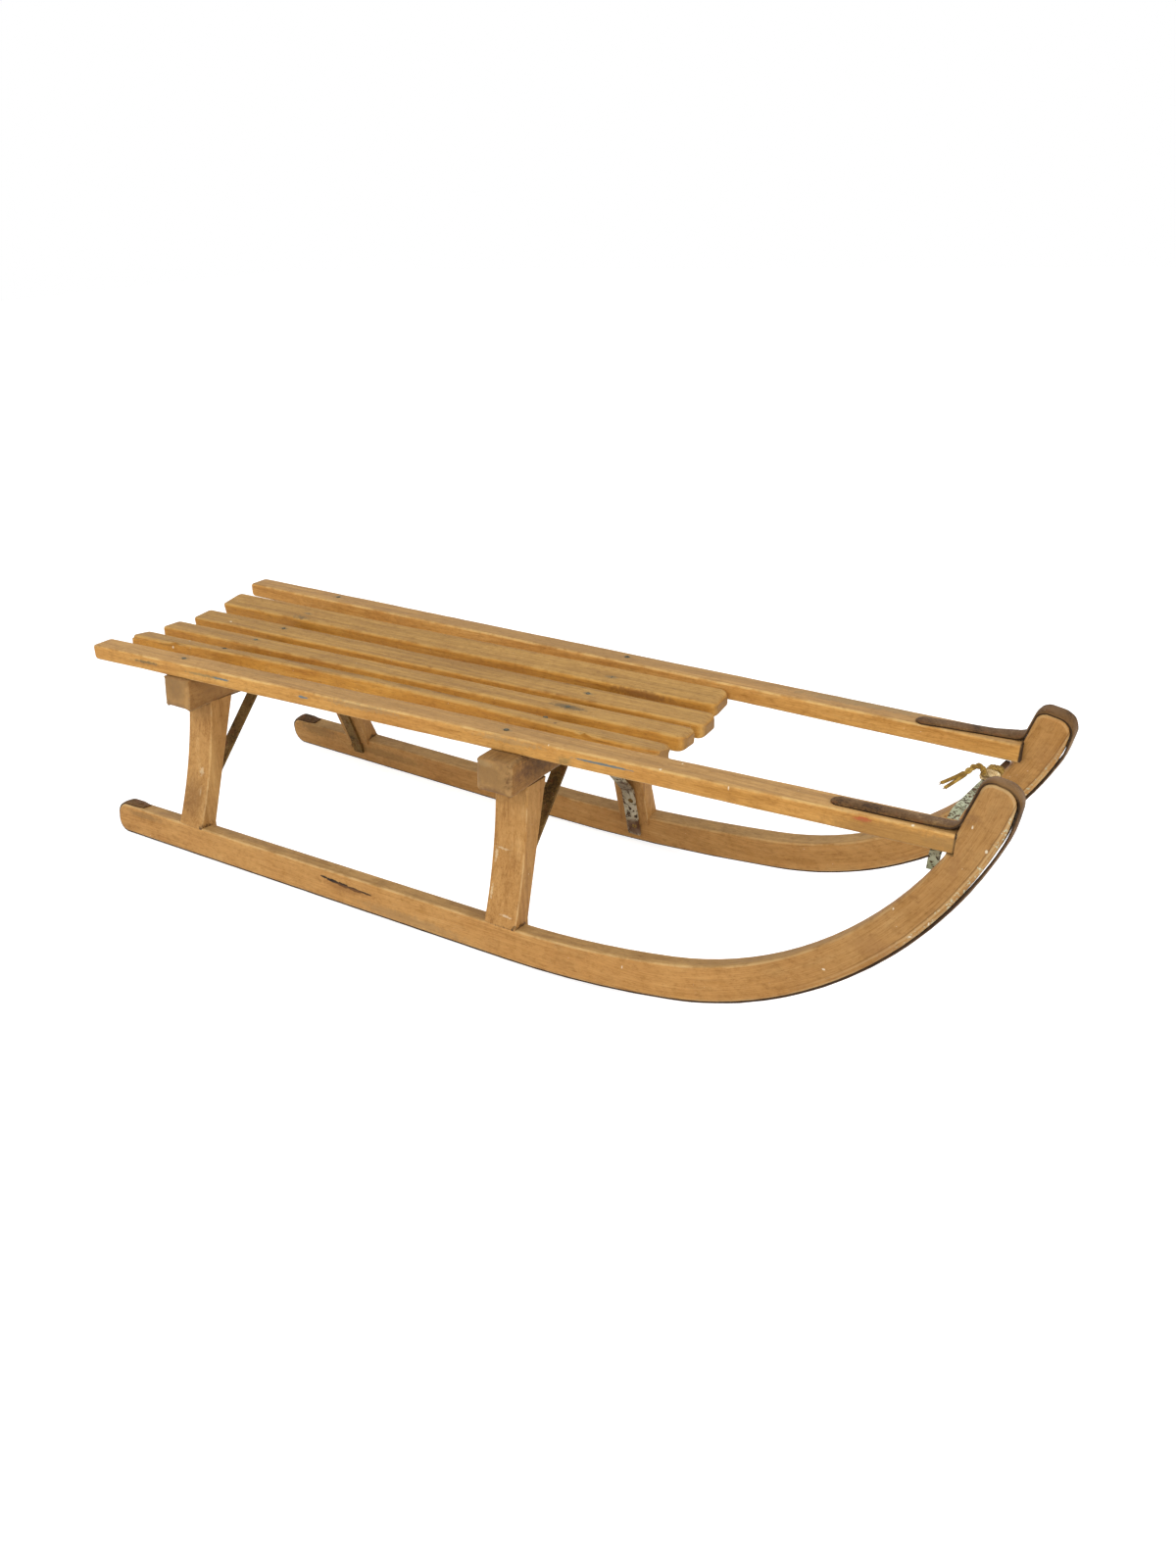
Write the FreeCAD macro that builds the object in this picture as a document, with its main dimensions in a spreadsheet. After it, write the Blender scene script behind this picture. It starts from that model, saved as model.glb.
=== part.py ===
import FreeCAD, Part
import math
import os

import Sketcher

V = FreeCAD.Vector
doc = FreeCAD.newDocument("SlattedSled")
sheet = doc.addObject("Spreadsheet::Sheet", "Sizes")

# Driving dimensions in millimetres and degrees.
# The sled points its horns along +X and stands on z = 0.
SIZES = {
    # whole sled
    "overall_length": 963.0,
    "seat_height": 221.4,
    "beam_spacing": 406.0,
    "rear_overhang": 135.0,
    # the leaning plane that one runner, its horn and its band lie in
    "half_track_right": 152.3,
    "half_track_left": 157.0,
    "side_lean": 7.45,
    "toe_in_right": 1.54,
    "toe_in_left": 1.88,
    # runners
    "runner_thickness": 20.0,
    "runner_depth": 34.5,
    "runner_edge_round": 3.0,
    "runner_rear_gap": 15.5,
    "runner_end_round": 13.0,
    "curl_radius_low_right": 943.0,
    "curl_turn_low_right": 10.1,
    "curl_turn_mid_right": 60.2,
    "curl_radius_low_left": 2000.0,
    "curl_turn_low_left": 8.2,
    "curl_turn_mid_left": 57.8,
    "curl_radius_top": 90.0,
    "curl_turn_top": 13.0,
    "curl_end_rise_right": 19.07,
    "curl_end_rise_left": 6.24,
    "curl_lead_right": 0.2,
    "curl_lead_left": 2.5,
    "curl_thinning": 10.0,
    "horn_slack": 3.4,
    "horn_neck": 40.0,
    "horn_back_slope": 73.0,
    "horn_top_slope": 12.0,
    "horn_rise_right": 43.0,
    "horn_rise_left": 32.0,
    "horn_front_round": 13.0,
    "horn_back_round": 8.0,
    # steel bands
    "band_width": 16.0,
    "band_thickness": 2.4,
    "band_strip_width": 17.0,
    "band_strip_skew_right": 0.0,
    "band_strip_skew_left": 6.0,
    "band_fold": 41.0,
    "band_on_rail": 96.0,
    "band_corner_round": 11.0,
    # side rails
    "rail_width": 26.0,
    "rail_thickness": 16.5,
    "rail_edge_round": 2.5,
    "rail_rear_back_right": 12.0,
    "rail_rear_back_left": 0.0,
    "rail_half_spacing_rear": 120.5,
    "rail_half_spacing_front": 104.5,
    # short slats
    "slat_thickness": 16.0,
    "slat_edge_round": 3.5,
    "slat_front_overhang": 117.0,
    # crossbeams
    "beam_width": 34.0,
    "beam_depth": 31.0,
    "beam_overhang": 4.0,
    "beam_end_slope": 9.0,
    "beam_belly": 6.0,
    "beam_edge_round": 4.0,
    "dish_rear": 11.0,
    "dish_front": 12.5,
    "slat_housing": 1.0,
    # posts
    "post_width": 33.5,
    "post_top_thickness": 36.0,
    "post_top_inset_rear": 51.0,
    "post_top_inset_front": 47.2,
    "post_foot_overhang": 2.4,
    "post_hollow": 6.6,
    "post_edge_round": 2.0,
    # flat iron braces
    "brace_width": 14.0,
    "brace_thickness": 3.0,
    "brace_top_half": 17.0,
    "brace_flange": 16.0,
    "brace_bend_height": 76.0,
    "brace_foot_height": 15.0,
    "brace_clearance": 0.3,
    "brace_bend_round": 12.0,
    "brace_foot_round": 40.0,
    "brace_flange_round": 8.0,
    # pull bar
    "bar_width": 9.0,
    "bar_thickness": 3.0,
    "bar_back": 53.0,
    "bar_skew": 2.9,
    "bar_crown_half_right": 44.0,
    "bar_crown_half_left": 58.0,
    "bar_crown_drop": 10.9,
    "bar_knee_drop_right": 26.0,
    "bar_knee_drop_left": 22.0,
    "bar_foot_drop_right": 41.0,
    "bar_foot_drop_left": 38.0,
    "bar_bend_round": 9.0,
    "bar_clearance": 0.6,
    # rope
    "twine_diameter": 2.2,
    "tail_diameter": 3.4,
    "winding_start": 29.4,
    "winding_length": 22.0,
    "winding_clearance": 0.2,
}
for row, (alias, value) in enumerate(SIZES.items(), start=1):
    sheet.set(f"A{row}", alias)
    sheet.set(f"B{row}", str(value))
    sheet.setAlias(f"B{row}", alias)
doc.recompute()


def size(alias):
    return float(sheet.get(alias))


# Each short slat: width, its middle at the rear and front beam, and its bow between them.
SLATS = {
    "seat_slat_1": (24.0, -58.0, -48.0, 7.0),
    "seat_slat_2": (27.0, -17.5, -6.5, 0.0),
    "seat_slat_3": (28.5, 26.5, 30.3, 0.0),
    "seat_slat_4": (32.0, 73.5, 69.5, 0.0),
}
# How far each slat's rear end stops short of the longest one, and its front end.
STAGGER_REAR = {"seat_slat_1": 7.0, "seat_slat_2": 2.0, "seat_slat_3": 6.0, "seat_slat_4": 6.0}
STAGGER_FRONT = {"seat_slat_1": 5.0, "seat_slat_2": 3.0, "seat_slat_3": 0.0, "seat_slat_4": 5.0}

SIDES = {"right": -1, "left": 1}
toe_in = {side: size(f"toe_in_{side}") for side in SIDES}
half_track = {side: size(f"half_track_{side}") for side in SIDES}

half_length = size("overall_length") / 2
rear_beam_x = -half_length + size("rear_overhang")
front_beam_x = rear_beam_x + size("beam_spacing")
beam_x = {"rear": rear_beam_x, "front": front_beam_x}
dish = {"rear": size("dish_rear"), "front": size("dish_front")}
rail_half = {
    "rear": size("rail_half_spacing_rear"),
    "front": size("rail_half_spacing_front"),
}
rail_bottom = size("seat_height") - size("rail_thickness")
# Both beams are as long as the rear one needs to be, where the rails stand widest.
beam_half = rail_half["rear"] + size("rail_width") / 2 + size("beam_overhang")
# The seat's middle line stands a little to the right, because the left runner splays more.
middle_y = (half_track["right"] - half_track["left"]) / 2
lean = math.radians(size("side_lean"))
# The inner edge of each band is the lowest line of the sled, on the floor.
sole_lift = (size("runner_thickness") + size("band_width")) / 2 * math.sin(lean)


def polar(angle):
    return V(math.cos(math.radians(angle)), math.sin(math.radians(angle)), 0)


def left_of(direction):
    return V(-direction.y, direction.x, 0)


def travel(start, heading, steps):
    """Edges of a path of straight runs and tangent turns; a positive turn is to the left."""
    edges, here = [], start
    for step in steps:
        if len(step) == 1:
            there = here + polar(heading) * step[0]
            edges.append(Part.LineSegment(here, there))
        else:
            radius, turn = step
            side = 1 if turn > 0 else -1
            centre = here + left_of(polar(heading)) * radius * side
            middle = centre - left_of(polar(heading + turn / 2)) * radius * side
            there = centre - left_of(polar(heading + turn)) * radius * side
            edges.append(Part.Arc(here, middle, there))
            heading += turn
        here = there
    return edges, here, heading


def crossing(point_a, angle_a, point_b, angle_b):
    """Where a line through point_a meets a line through point_b."""
    along_a, along_b = polar(angle_a), polar(angle_b)
    gap = point_b - point_a
    reach = (gap.x * along_b.y - gap.y * along_b.x) / (along_a.x * along_b.y - along_a.y * along_b.x)
    return point_a + along_a * reach


def rounded(points, radii):
    """Edges along points, with an arc of the given radius at each inner point (0 keeps it sharp)."""
    edges, here = [], points[0]
    for before, corner, after, radius in zip(points, points[1:], points[2:], radii):
        into, out = (corner - before).normalize(), (after - corner).normalize()
        turn = math.acos(max(-1.0, min(1.0, into.dot(out))))
        cut = radius * math.tan(turn / 2)
        first, last = corner - into * cut, corner + out * cut
        edges.append(Part.LineSegment(here, first))
        if radius > 0:
            inward = (out - into).normalize()
            middle = corner + inward * radius * (1 / math.cos(turn / 2) - 1)
            edges.append(Part.Arc(first, middle, last))
        here = last
    edges.append(Part.LineSegment(here, points[-1]))
    return edges


def body_with_pad(name, plane, edges, depth_alias, both_ways, away):
    """A body of one sketch on its own origin plane, padded by a size of the sheet."""
    body = doc.addObject("PartDesign::Body", name)
    sketch = body.newObject("Sketcher::SketchObject", name + "_outline")
    origin_plane = [item for item in body.Origin.OriginFeatures if item.Role == plane][0]
    sketch.AttachmentSupport = (origin_plane, [""])
    sketch.MapMode = "FlatFace"
    for edge in edges:
        if edge.length() > 1e-6:
            sketch.addGeometry(edge, False)
    pad = body.newObject("PartDesign::Pad", name + "_pad")
    pad.Profile = sketch
    pad.setExpression("Length", f"Sizes.{depth_alias}")
    pad.Midplane = both_ways
    pad.Reversed = away
    doc.recompute()
    return body, pad


def round_edges(body, feature, radius_alias, wanted):
    """A fillet on the edges of feature that wanted picks."""
    names = [f"Edge{i}" for i, edge in enumerate(feature.Shape.Edges, start=1) if wanted(edge)]
    fillet = body.newObject("PartDesign::Fillet", body.Name + "_fillet")
    fillet.Base = (feature, names)
    fillet.setExpression("Radius", f"Sizes.{radius_alias}")
    body.Tip = fillet
    doc.recompute()
    return fillet


def cut(label, base, tools):
    """Base with the tools' space taken out of it, one after another."""
    for number, tool in enumerate(tools, start=1):
        step = doc.addObject("Part::Cut", f"{label}_cut_{number}")
        step.Base, step.Tool = base, tool
        base = step
    base.Label = label
    doc.recompute()
    return base


def box_outline(low_x, high_x, low_y, high_y):
    corners = [V(low_x, low_y, 0), V(high_x, low_y, 0), V(high_x, high_y, 0), V(low_x, high_y, 0)]
    return [Part.LineSegment(a, b) for a, b in zip(corners, corners[1:] + corners[:1])]


def side_placement(side, sign):
    """The leaning plane of one side: its x runs along the runner and its z up the horn."""
    base = V(rear_beam_x, middle_y + sign * half_track[side], sole_lift)
    toe = FreeCAD.Rotation(V(0, 0, 1), -sign * toe_in[side])
    tilt = FreeCAD.Rotation(V(1, 0, 0), sign * size("side_lean"))
    return FreeCAD.Placement(base, toe.multiply(tilt))


def up_the_plane(height):
    """A height above the floor, measured along the leaning plane from the sole."""
    return (height - sole_lift) / math.cos(lean)


# Side rails: one straight bar each side, from behind the rear beam to its notch in the horn.
horn_front = size("overall_length") - size("rear_overhang")
rail_front = horn_front - size("horn_neck")


def make_rail(side, sign):
    yaw = math.degrees(math.atan2(rail_half["front"] - rail_half["rear"], size("beam_spacing")))
    stretch = 1 / math.cos(math.radians(yaw))
    half = size("rail_width") / 2
    rear = size(f"rail_rear_back_{side}") - size("rear_overhang")
    outline = box_outline(rear * stretch, rail_front * stretch, -half, half)
    body, pad = body_with_pad(f"side_rail_{side}", "XY_Plane", outline, "rail_thickness", False, False)
    round_edges(body, pad, "rail_edge_round", lambda edge: edge.Length > size("beam_spacing"))
    body.Placement = FreeCAD.Placement(
        V(rear_beam_x, middle_y + sign * rail_half["rear"], rail_bottom),
        FreeCAD.Rotation(V(0, 0, 1), sign * yaw),
    )
    body.Label = f"side_rail_{side}"
    return body


rails = {side: make_rail(side, sign) for side, sign in SIDES.items()}


# Crossbeams: dished on top between the rails, so that the slats lie in a shallow hollow.
def dish_edge(which):
    """Half the width of the hollow, up to the inner edges of the rails."""
    return rail_half[which] - size("rail_width") / 2


def beam_top(which, y):
    """Height of a beam's top at y, and its slope there."""
    half, sag = dish_edge(which), dish[which]
    radius = (half * half + sag * sag) / (2 * sag)
    centre = rail_bottom - sag + radius
    drop = math.sqrt(radius * radius - y * y)
    return centre - drop, y / drop


def make_beam(which):
    half = beam_half
    inset = size("beam_depth") * math.tan(math.radians(size("beam_end_slope")))
    top, bottom = rail_bottom, rail_bottom - size("beam_depth")
    edge, sag, belly = dish_edge(which), dish[which], size("beam_belly")
    corners = [V(edge, top, 0), V(half - inset, top, 0), V(half, bottom, 0)]
    mirror = [V(-point.x, point.y, 0) for point in reversed(corners)]
    edges = [Part.Arc(V(-edge, top, 0), V(0, top - sag, 0), V(edge, top, 0))]
    edges += [Part.LineSegment(a, b) for a, b in zip(corners, corners[1:])]
    edges.append(Part.Arc(corners[-1], V(0, bottom - belly, 0), mirror[0]))
    edges += [Part.LineSegment(a, b) for a, b in zip(mirror, mirror[1:])]
    body, pad = body_with_pad(f"beam_blank_{which}", "YZ_Plane", edges, "beam_width", True, False)

    def end_or_side(edge):
        middle = edge.CenterOfMass
        return abs(middle.y) > half - inset - 1 and edge.Length < size("beam_width") + 2

    round_edges(body, pad, "beam_edge_round", end_or_side)
    body.Placement = FreeCAD.Placement(V(beam_x[which], middle_y, 0), FreeCAD.Rotation())
    return body


beam_blanks = {which: make_beam(which) for which in beam_x}


# Seat slats: each lies square on the hollow of both beams, let in by the housing depth.
def slat_outline(low, high, width, bow):
    """A straight or bowed slat seen from above, along x, its middle on the line at both beams."""
    if bow == 0:
        return box_outline(low, high, -width / 2, width / 2)
    span = size("beam_spacing")
    radius = (span * span / 4 + bow * bow) / (2 * bow)
    centre = V(span / 2, bow - radius, 0)

    def spot(station, offset):
        angle = math.asin((station - span / 2) / radius)
        return centre + V(math.sin(angle), math.cos(angle), 0) * (radius + offset)

    edges = []
    for offset, first, last in ((-width / 2, low, high), (width / 2, high, low)):
        arc = [spot(station, offset) for station in (first, (first + last) / 2, last)]
        edges.append(Part.Arc(*arc))
        edges.append(Part.LineSegment(arc[-1], spot(last, -offset)))
    return edges


def make_slat(label, width, rear_y, front_y, bow):
    rear_z, rear_slope = beam_top("rear", rear_y)
    front_z, front_slope = beam_top("front", front_y)
    sink = size("slat_housing")
    start = V(rear_beam_x, middle_y + rear_y, rear_z - sink)
    along = V(front_beam_x, middle_y + front_y, front_z - sink) - start
    tilt = math.degrees(math.atan((rear_slope + front_slope) / 2))
    yaw = math.degrees(math.atan2(along.y, along.x))
    pitch = -math.degrees(math.asin(along.z / along.Length))
    low = -(size("rear_overhang") - STAGGER_REAR[label])
    high = size("beam_spacing") + size("slat_front_overhang") - STAGGER_FRONT[label]
    outline = slat_outline(low, high, width, bow)
    body, pad = body_with_pad(label, "XY_Plane", outline, "slat_thickness", False, False)
    round_edges(body, pad, "slat_edge_round", lambda edge: edge.Length > size("beam_spacing"))
    turn = FreeCAD.Rotation(V(0, 0, 1), yaw)
    turn = turn.multiply(FreeCAD.Rotation(V(0, 1, 0), pitch))
    turn = turn.multiply(FreeCAD.Rotation(V(1, 0, 0), tilt))
    body.Placement = FreeCAD.Placement(start, turn)
    body.Label = label
    return body


slats = [make_slat(label, *places) for label, places in SLATS.items()]
beams = {which: cut(f"crossbeam_{which}", beam_blanks[which], slats) for which in beam_x}


# Runners: a straight sole, a curl of three tangent arcs, and a horn notched for the rail.
runner_rear = -(size("rear_overhang") - size("runner_rear_gap"))


def curl(side):
    """Radius and turn of each arc of a curl, from the sole up to the horn.

    The middle arc is as large as it takes to end the curl at its place by the seat.
    """
    low, top = size(f"curl_radius_low_{side}"), size("curl_radius_top")
    turns = [size(f"curl_turn_low_{side}"), size(f"curl_turn_mid_{side}"), size("curl_turn_top")]
    first, second = turns[0], turns[0] + turns[1]
    last = second + turns[2]
    flat, one, two, three = [math.cos(math.radians(angle)) for angle in (0.0, first, second, last)]
    height = up_the_plane(size("seat_height")) + size(f"curl_end_rise_{side}")
    mid = (height - low * (flat - one) - top * (two - three)) / (one - two)
    return list(zip((low, mid, top), turns))


def curl_start(side):
    """Where the sole starts to curl, so that the horn's front comes out at its place."""
    reach, heading = 0.0, 0.0
    for radius, turn in curl(side):
        reach += radius * (
            math.sin(math.radians(heading + turn)) - math.sin(math.radians(heading))
        )
        heading += turn
    return horn_front - reach - size(f"curl_lead_{side}")


def curl_steps(side, inset, slack):
    """The curl's arcs, moved inwards by inset; slack tightens the middle arc."""
    low, mid, top = curl(side)
    return [(low[0] - inset, low[1]), (mid[0] - inset - slack, mid[1]), (top[0] - inset, top[1])]


def horn_corners(side, outset):
    """The horn's back, top and front lines, moved outwards by outset: its top corners."""
    back_slope, top_slope = size("horn_back_slope"), -size("horn_top_slope")
    rail_top = up_the_plane(size("seat_height"))
    foot = V(rail_front, rail_top, 0) + left_of(polar(back_slope)) * outset
    rise = size(f"horn_rise_{side}") + outset / math.cos(math.radians(top_slope))
    peak = V(rail_front + size("horn_neck") / 3, rail_top + rise, 0)
    return foot, crossing(foot, back_slope, peak, top_slope), peak, top_slope


def runner_edges(side):
    bottom, depth = size("band_thickness"), size("runner_depth")
    rear, start = runner_rear + bottom, curl_start(side)
    end_round = size("runner_end_round")
    sole, horn_start, heading = travel(
        V(start, bottom, 0), 0.0, curl_steps(side, bottom, size("horn_slack"))
    )
    foot, back_corner, peak, top_slope = horn_corners(side, 0.0)
    front_corner = crossing(horn_start, heading, peak, top_slope)
    shoulder = up_the_plane(rail_bottom) - size("runner_edge_round")
    (low_radius, low_turn), (mid_radius, _), _ = curl_steps(side, depth, 0.0)
    mid_radius += size("curl_thinning")
    low_centre = V(start, depth + low_radius, 0)
    first = low_centre + polar(low_turn - 90) * low_radius
    mid_centre = low_centre + polar(low_turn - 90) * (low_radius - mid_radius)
    reach = math.sqrt(mid_radius**2 - (mid_centre.y - shoulder) ** 2)
    meet = V(mid_centre.x + reach, shoulder, 0)
    halfway = ((first - mid_centre).normalize() + (meet - mid_centre).normalize()).normalize()
    horn = rounded(
        [horn_start, front_corner, back_corner, foot, meet],
        [size("horn_front_round"), size("horn_back_round"), 0.0],
    )
    inner = [
        Part.Arc(meet, mid_centre + halfway * mid_radius, first),
        Part.Arc(first, low_centre + polar(low_turn / 2 - 90) * low_radius, V(start, depth, 0)),
    ]
    tail = rounded(
        [V(start, depth, 0), V(rear, depth, 0), V(rear, bottom, 0), V(start, bottom, 0)],
        [end_round, end_round],
    )
    return sole + horn + inner + tail


def make_runner(side, sign):
    body, pad = body_with_pad(
        f"runner_blank_{side}", "XZ_Plane", runner_edges(side), "runner_thickness", False, sign < 0
    )
    round_edges(body, pad, "runner_edge_round", lambda edge: edge.BoundBox.YLength < 0.01)
    body.Placement = side_placement(side, sign)
    over = size("horn_neck")
    outline = box_outline(rail_front - 2 * over, rail_front, -over, over)
    notch, _ = body_with_pad(
        f"rail_notch_{side}", "XY_Plane", outline, "rail_thickness", False, False
    )
    notch.Placement = rails[side].Placement
    return cut(f"runner_{side}", body, [notch])


runners = {side: make_runner(side, sign) for side, sign in SIDES.items()}


# Steel bands: each starts folded over the runner's rear end, runs along the sole, round the
# horn and back into the corner, and ends on top of the rail.
def band_path(side, outset):
    """The band's outer line for outset 0, or a line inside it for a negative outset."""
    depth, thick, start = size("runner_depth"), size("band_thickness"), curl_start(side)
    rear, end_round = runner_rear, size("runner_end_round") + thick
    low, high = -outset, depth + thick + outset
    tail = rounded(
        [V(rear + size("band_fold"), high, 0), V(rear - outset, high, 0)]
        + [V(rear - outset, low, 0), V(start, low, 0)],
        [end_round + outset, end_round + outset],
    )
    sole, horn_start, heading = travel(V(start, low, 0), 0.0, curl_steps(side, -outset, 0.0))
    foot, back_corner, peak, top_slope = horn_corners(side, thick + outset)
    front_corner = crossing(horn_start, heading, peak, top_slope)
    rail_top = size("seat_height") / math.cos(lean) + thick + outset
    corner = crossing(foot, size("horn_back_slope"), V(0, rail_top, 0), 0.0)
    end = V(rail_front - 2 * size("band_corner_round"), rail_top, 0)
    horn = rounded(
        [horn_start, front_corner, back_corner, corner, end],
        [
            size("horn_front_round") + thick + outset,
            size("horn_back_round") + thick + outset,
            size("band_corner_round") - thick - outset,
        ],
    )
    return tail + sole + horn


def make_band(side, sign):
    outer = band_path(side, 0.0)
    inner = band_path(side, -size("band_thickness"))
    caps = [
        Part.LineSegment(outer[0].StartPoint, inner[0].StartPoint),
        Part.LineSegment(outer[-1].EndPoint, inner[-1].EndPoint),
    ]
    body, pad = body_with_pad(
        f"band_wrap_{side}", "XZ_Plane", outer + inner + caps, "band_width", False, sign < 0
    )
    inset = (size("runner_thickness") - size("band_width")) / 2
    place = side_placement(side, sign)
    place.Base = place.Base + place.Rotation.multVec(V(0, -sign * inset, 0))
    body.Placement = place

    near, far = size("band_corner_round"), size("band_on_rail")
    half = size("band_strip_width") / 2
    corners = [V(-near, 0, 0), V(-near, half, 0), V(-far, half, 0), V(-far, -half, 0)]
    corners += [V(-near, -half, 0), V(-near, 0, 0)]
    strip, _ = body_with_pad(
        f"band_strip_{side}",
        "XY_Plane",
        rounded(corners, [0.0, half * 0.99, half * 0.99, 0.0]),
        "band_thickness",
        False,
        False,
    )
    horn_y = half_track[side] - rail_front * math.tan(math.radians(toe_in[side]))
    horn_y -= size("seat_height") * math.tan(lean) + size("runner_thickness") / 2
    skew = FreeCAD.Rotation(V(0, 0, 1), size(f"band_strip_skew_{side}"))
    strip.Placement = FreeCAD.Placement(
        V(rear_beam_x + rail_front, middle_y + sign * horn_y, size("seat_height")),
        rails[side].Placement.Rotation.multiply(skew),
    )
    whole = doc.addObject("Part::Fuse", f"runner_band_{side}")
    whole.Base, whole.Tool = body, strip
    whole.Label = f"runner_band_{side}"
    doc.recompute()
    return whole


bands = {side: make_band(side, sign) for side, sign in SIDES.items()}


# Posts: waisted boards that splay from the runner up to the underside of the beam.
def runner_line(side, which, inset):
    """Where a runner's top face passes a beam: its y at an inset from the outer face."""
    station = 0.0 if which == "rear" else size("beam_spacing")
    depth = size("runner_depth")
    out = half_track[side] - station * math.tan(math.radians(toe_in[side]))
    y = out - depth * math.sin(lean) - inset * math.cos(lean)
    z = sole_lift + depth * math.cos(lean) - inset * math.sin(lean)
    return V(y, z, 0)


def post_corners(side, which):
    top = rail_bottom - size("beam_depth") / 2
    outer_top = beam_half - size(f"post_top_inset_{which}") + size("post_top_thickness") / 2
    inner_top = outer_top - size("post_top_thickness")
    foot_out = runner_line(side, which, 0.6)
    foot_in = runner_line(side, which, size("runner_thickness") + size("post_foot_overhang"))
    return V(inner_top, top, 0), V(outer_top, top, 0), foot_out, foot_in


def make_post(side, sign, which):
    inner_top, outer_top, foot_out, foot_in = [
        V(sign * corner.x, corner.y, 0) for corner in post_corners(side, which)
    ]
    sunk = V(0, -4.0, 0)

    across = left_of((foot_out - outer_top).normalize()) * -sign
    hollow = (outer_top + foot_out) * 0.5 + across * size("post_hollow")
    edges = [
        Part.LineSegment(inner_top, outer_top),
        Part.Arc(outer_top, hollow, foot_out),
        Part.LineSegment(foot_out, foot_out + sunk),
        Part.LineSegment(foot_out + sunk, foot_in + sunk),
        Part.LineSegment(foot_in + sunk, foot_in),
        Part.LineSegment(foot_in, inner_top),
    ]
    body, pad = body_with_pad(
        f"post_blank_{which}_{side}", "YZ_Plane", edges, "post_width", True, False
    )
    clear = size("beam_depth") / 2
    round_edges(
        body,
        pad,
        "post_edge_round",
        lambda edge: edge.BoundBox.XLength < 0.01 and edge.BoundBox.ZLength > clear,
    )
    body.Placement = FreeCAD.Placement(V(beam_x[which], middle_y, 0), FreeCAD.Rotation())
    return cut(f"post_{which}_{side}", body, [beams[which], runners[side]])


posts = {
    (which, side): make_post(side, sign, which) for which in beam_x for side, sign in SIDES.items()
}


# Braces: flat iron from under the beam out to the post, then down to the runner's inner face.
def strip_edges(points, radii, thick, hand):
    """Outline of a bent strip: one face along points, the other thick to its left (hand 1)."""
    def shifted():
        moved = []
        for number, point in enumerate(points):
            before = points[max(number - 1, 0)]
            after = points[min(number + 1, len(points) - 1)]
            into = (point - before).normalize() if number else (after - point).normalize()
            out = (after - point).normalize() if number < len(points) - 1 else into
            bisector = (left_of(into) + left_of(out)).normalize()
            moved.append(point + bisector * (hand * thick / bisector.dot(left_of(into))))
        return moved

    far_points = shifted()
    far_radii = []
    for number, radius in enumerate(radii, start=1):
        into = points[number] - points[number - 1]
        out = points[number + 1] - points[number]
        left_turn = hand * (into.x * out.y - into.y * out.x) > 0
        far_radii.append(radius - thick if left_turn else radius + thick)
    near, far = rounded(points, radii), rounded(far_points, far_radii)
    caps = [
        Part.LineSegment(points[0], far_points[0]),
        Part.LineSegment(points[-1], far_points[-1]),
    ]
    return near + far + caps


def make_brace(side, sign, which):
    gap = size("brace_clearance")
    inner_top, _, _, foot_in = post_corners(side, which)
    underside = rail_bottom - size("beam_depth") - size("beam_belly")
    share = (size("brace_bend_height") - foot_in.y) / (inner_top.y - foot_in.y)
    on_post = foot_in + (inner_top - foot_in) * share
    bend = V(on_post.x - gap, on_post.y, 0)
    knee = V(foot_in.x - gap, foot_in.y - 1.0, 0)
    seat = runner_line(side, which, size("runner_thickness"))
    drop = seat.y - size("brace_foot_height")
    foot = V(seat.x + drop * math.tan(lean) - gap, size("brace_foot_height"), 0)
    top = V(size("brace_top_half"), underside - gap, 0)
    flange = V(top.x - size("brace_flange"), top.y, 0)
    points = [V(sign * point.x, point.y, 0) for point in (foot, knee, bend, top, flange)]
    radii = [size("brace_foot_round"), size("brace_bend_round"), size("brace_flange_round")]
    edges = strip_edges(points, radii, size("brace_thickness"), sign)
    body, pad = body_with_pad(
        f"brace_{which}_{side}", "YZ_Plane", edges, "brace_width", True, False
    )
    body.Placement = FreeCAD.Placement(V(beam_x[which], middle_y, 0), FreeCAD.Rotation())
    body.Label = f"brace_{which}_{side}"
    return body


braces = {
    (which, side): make_brace(side, sign, which) for which in beam_x for side, sign in SIDES.items()
}


# Pull bar: flat iron bowed between the inner faces of the two horns, just under the rails.
bar_x = half_length - size("bar_back")
bar_station = bar_x - rear_beam_x
bar_crown = size("seat_height") - size("bar_crown_drop")
bar_place = FreeCAD.Placement(
    V(bar_x, middle_y, 0), FreeCAD.Rotation(V(0, 0, 1), -size("bar_skew"))
)


def bar_height(part, side):
    """Height of the bar's foot or knee, measured down from the seat."""
    return size("seat_height") - size(f"bar_{part}_drop_{side}")


def inner_face(side, height):
    """How far a runner's inner face is from the middle at the bar, at a height above the floor."""
    out = half_track[side] - bar_station * math.tan(math.radians(toe_in[side]))
    return out - (height - sole_lift) * math.tan(lean) - size("runner_thickness") / math.cos(lean)


def make_bar():
    gap = size("bar_clearance")
    halves = {}
    for side, sign in SIDES.items():
        foot, knee = bar_height("foot", side), bar_height("knee", side)
        halves[side] = [
            V(sign * (inner_face(side, foot) - gap), foot, 0),
            V(sign * (inner_face(side, knee) - gap), knee, 0),
            V(sign * size(f"bar_crown_half_{side}"), bar_crown, 0),
        ]
    points = halves["left"] + halves["right"][::-1]
    bend = size("bar_bend_round")
    edges = strip_edges(points, [bend, 3 * bend, 3 * bend, bend], size("bar_thickness"), 1)
    body, pad = body_with_pad("pull_bar", "YZ_Plane", edges, "bar_width", True, False)
    body.Placement = bar_place
    body.Label = "pull_bar"
    return body


bar = make_bar()


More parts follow.
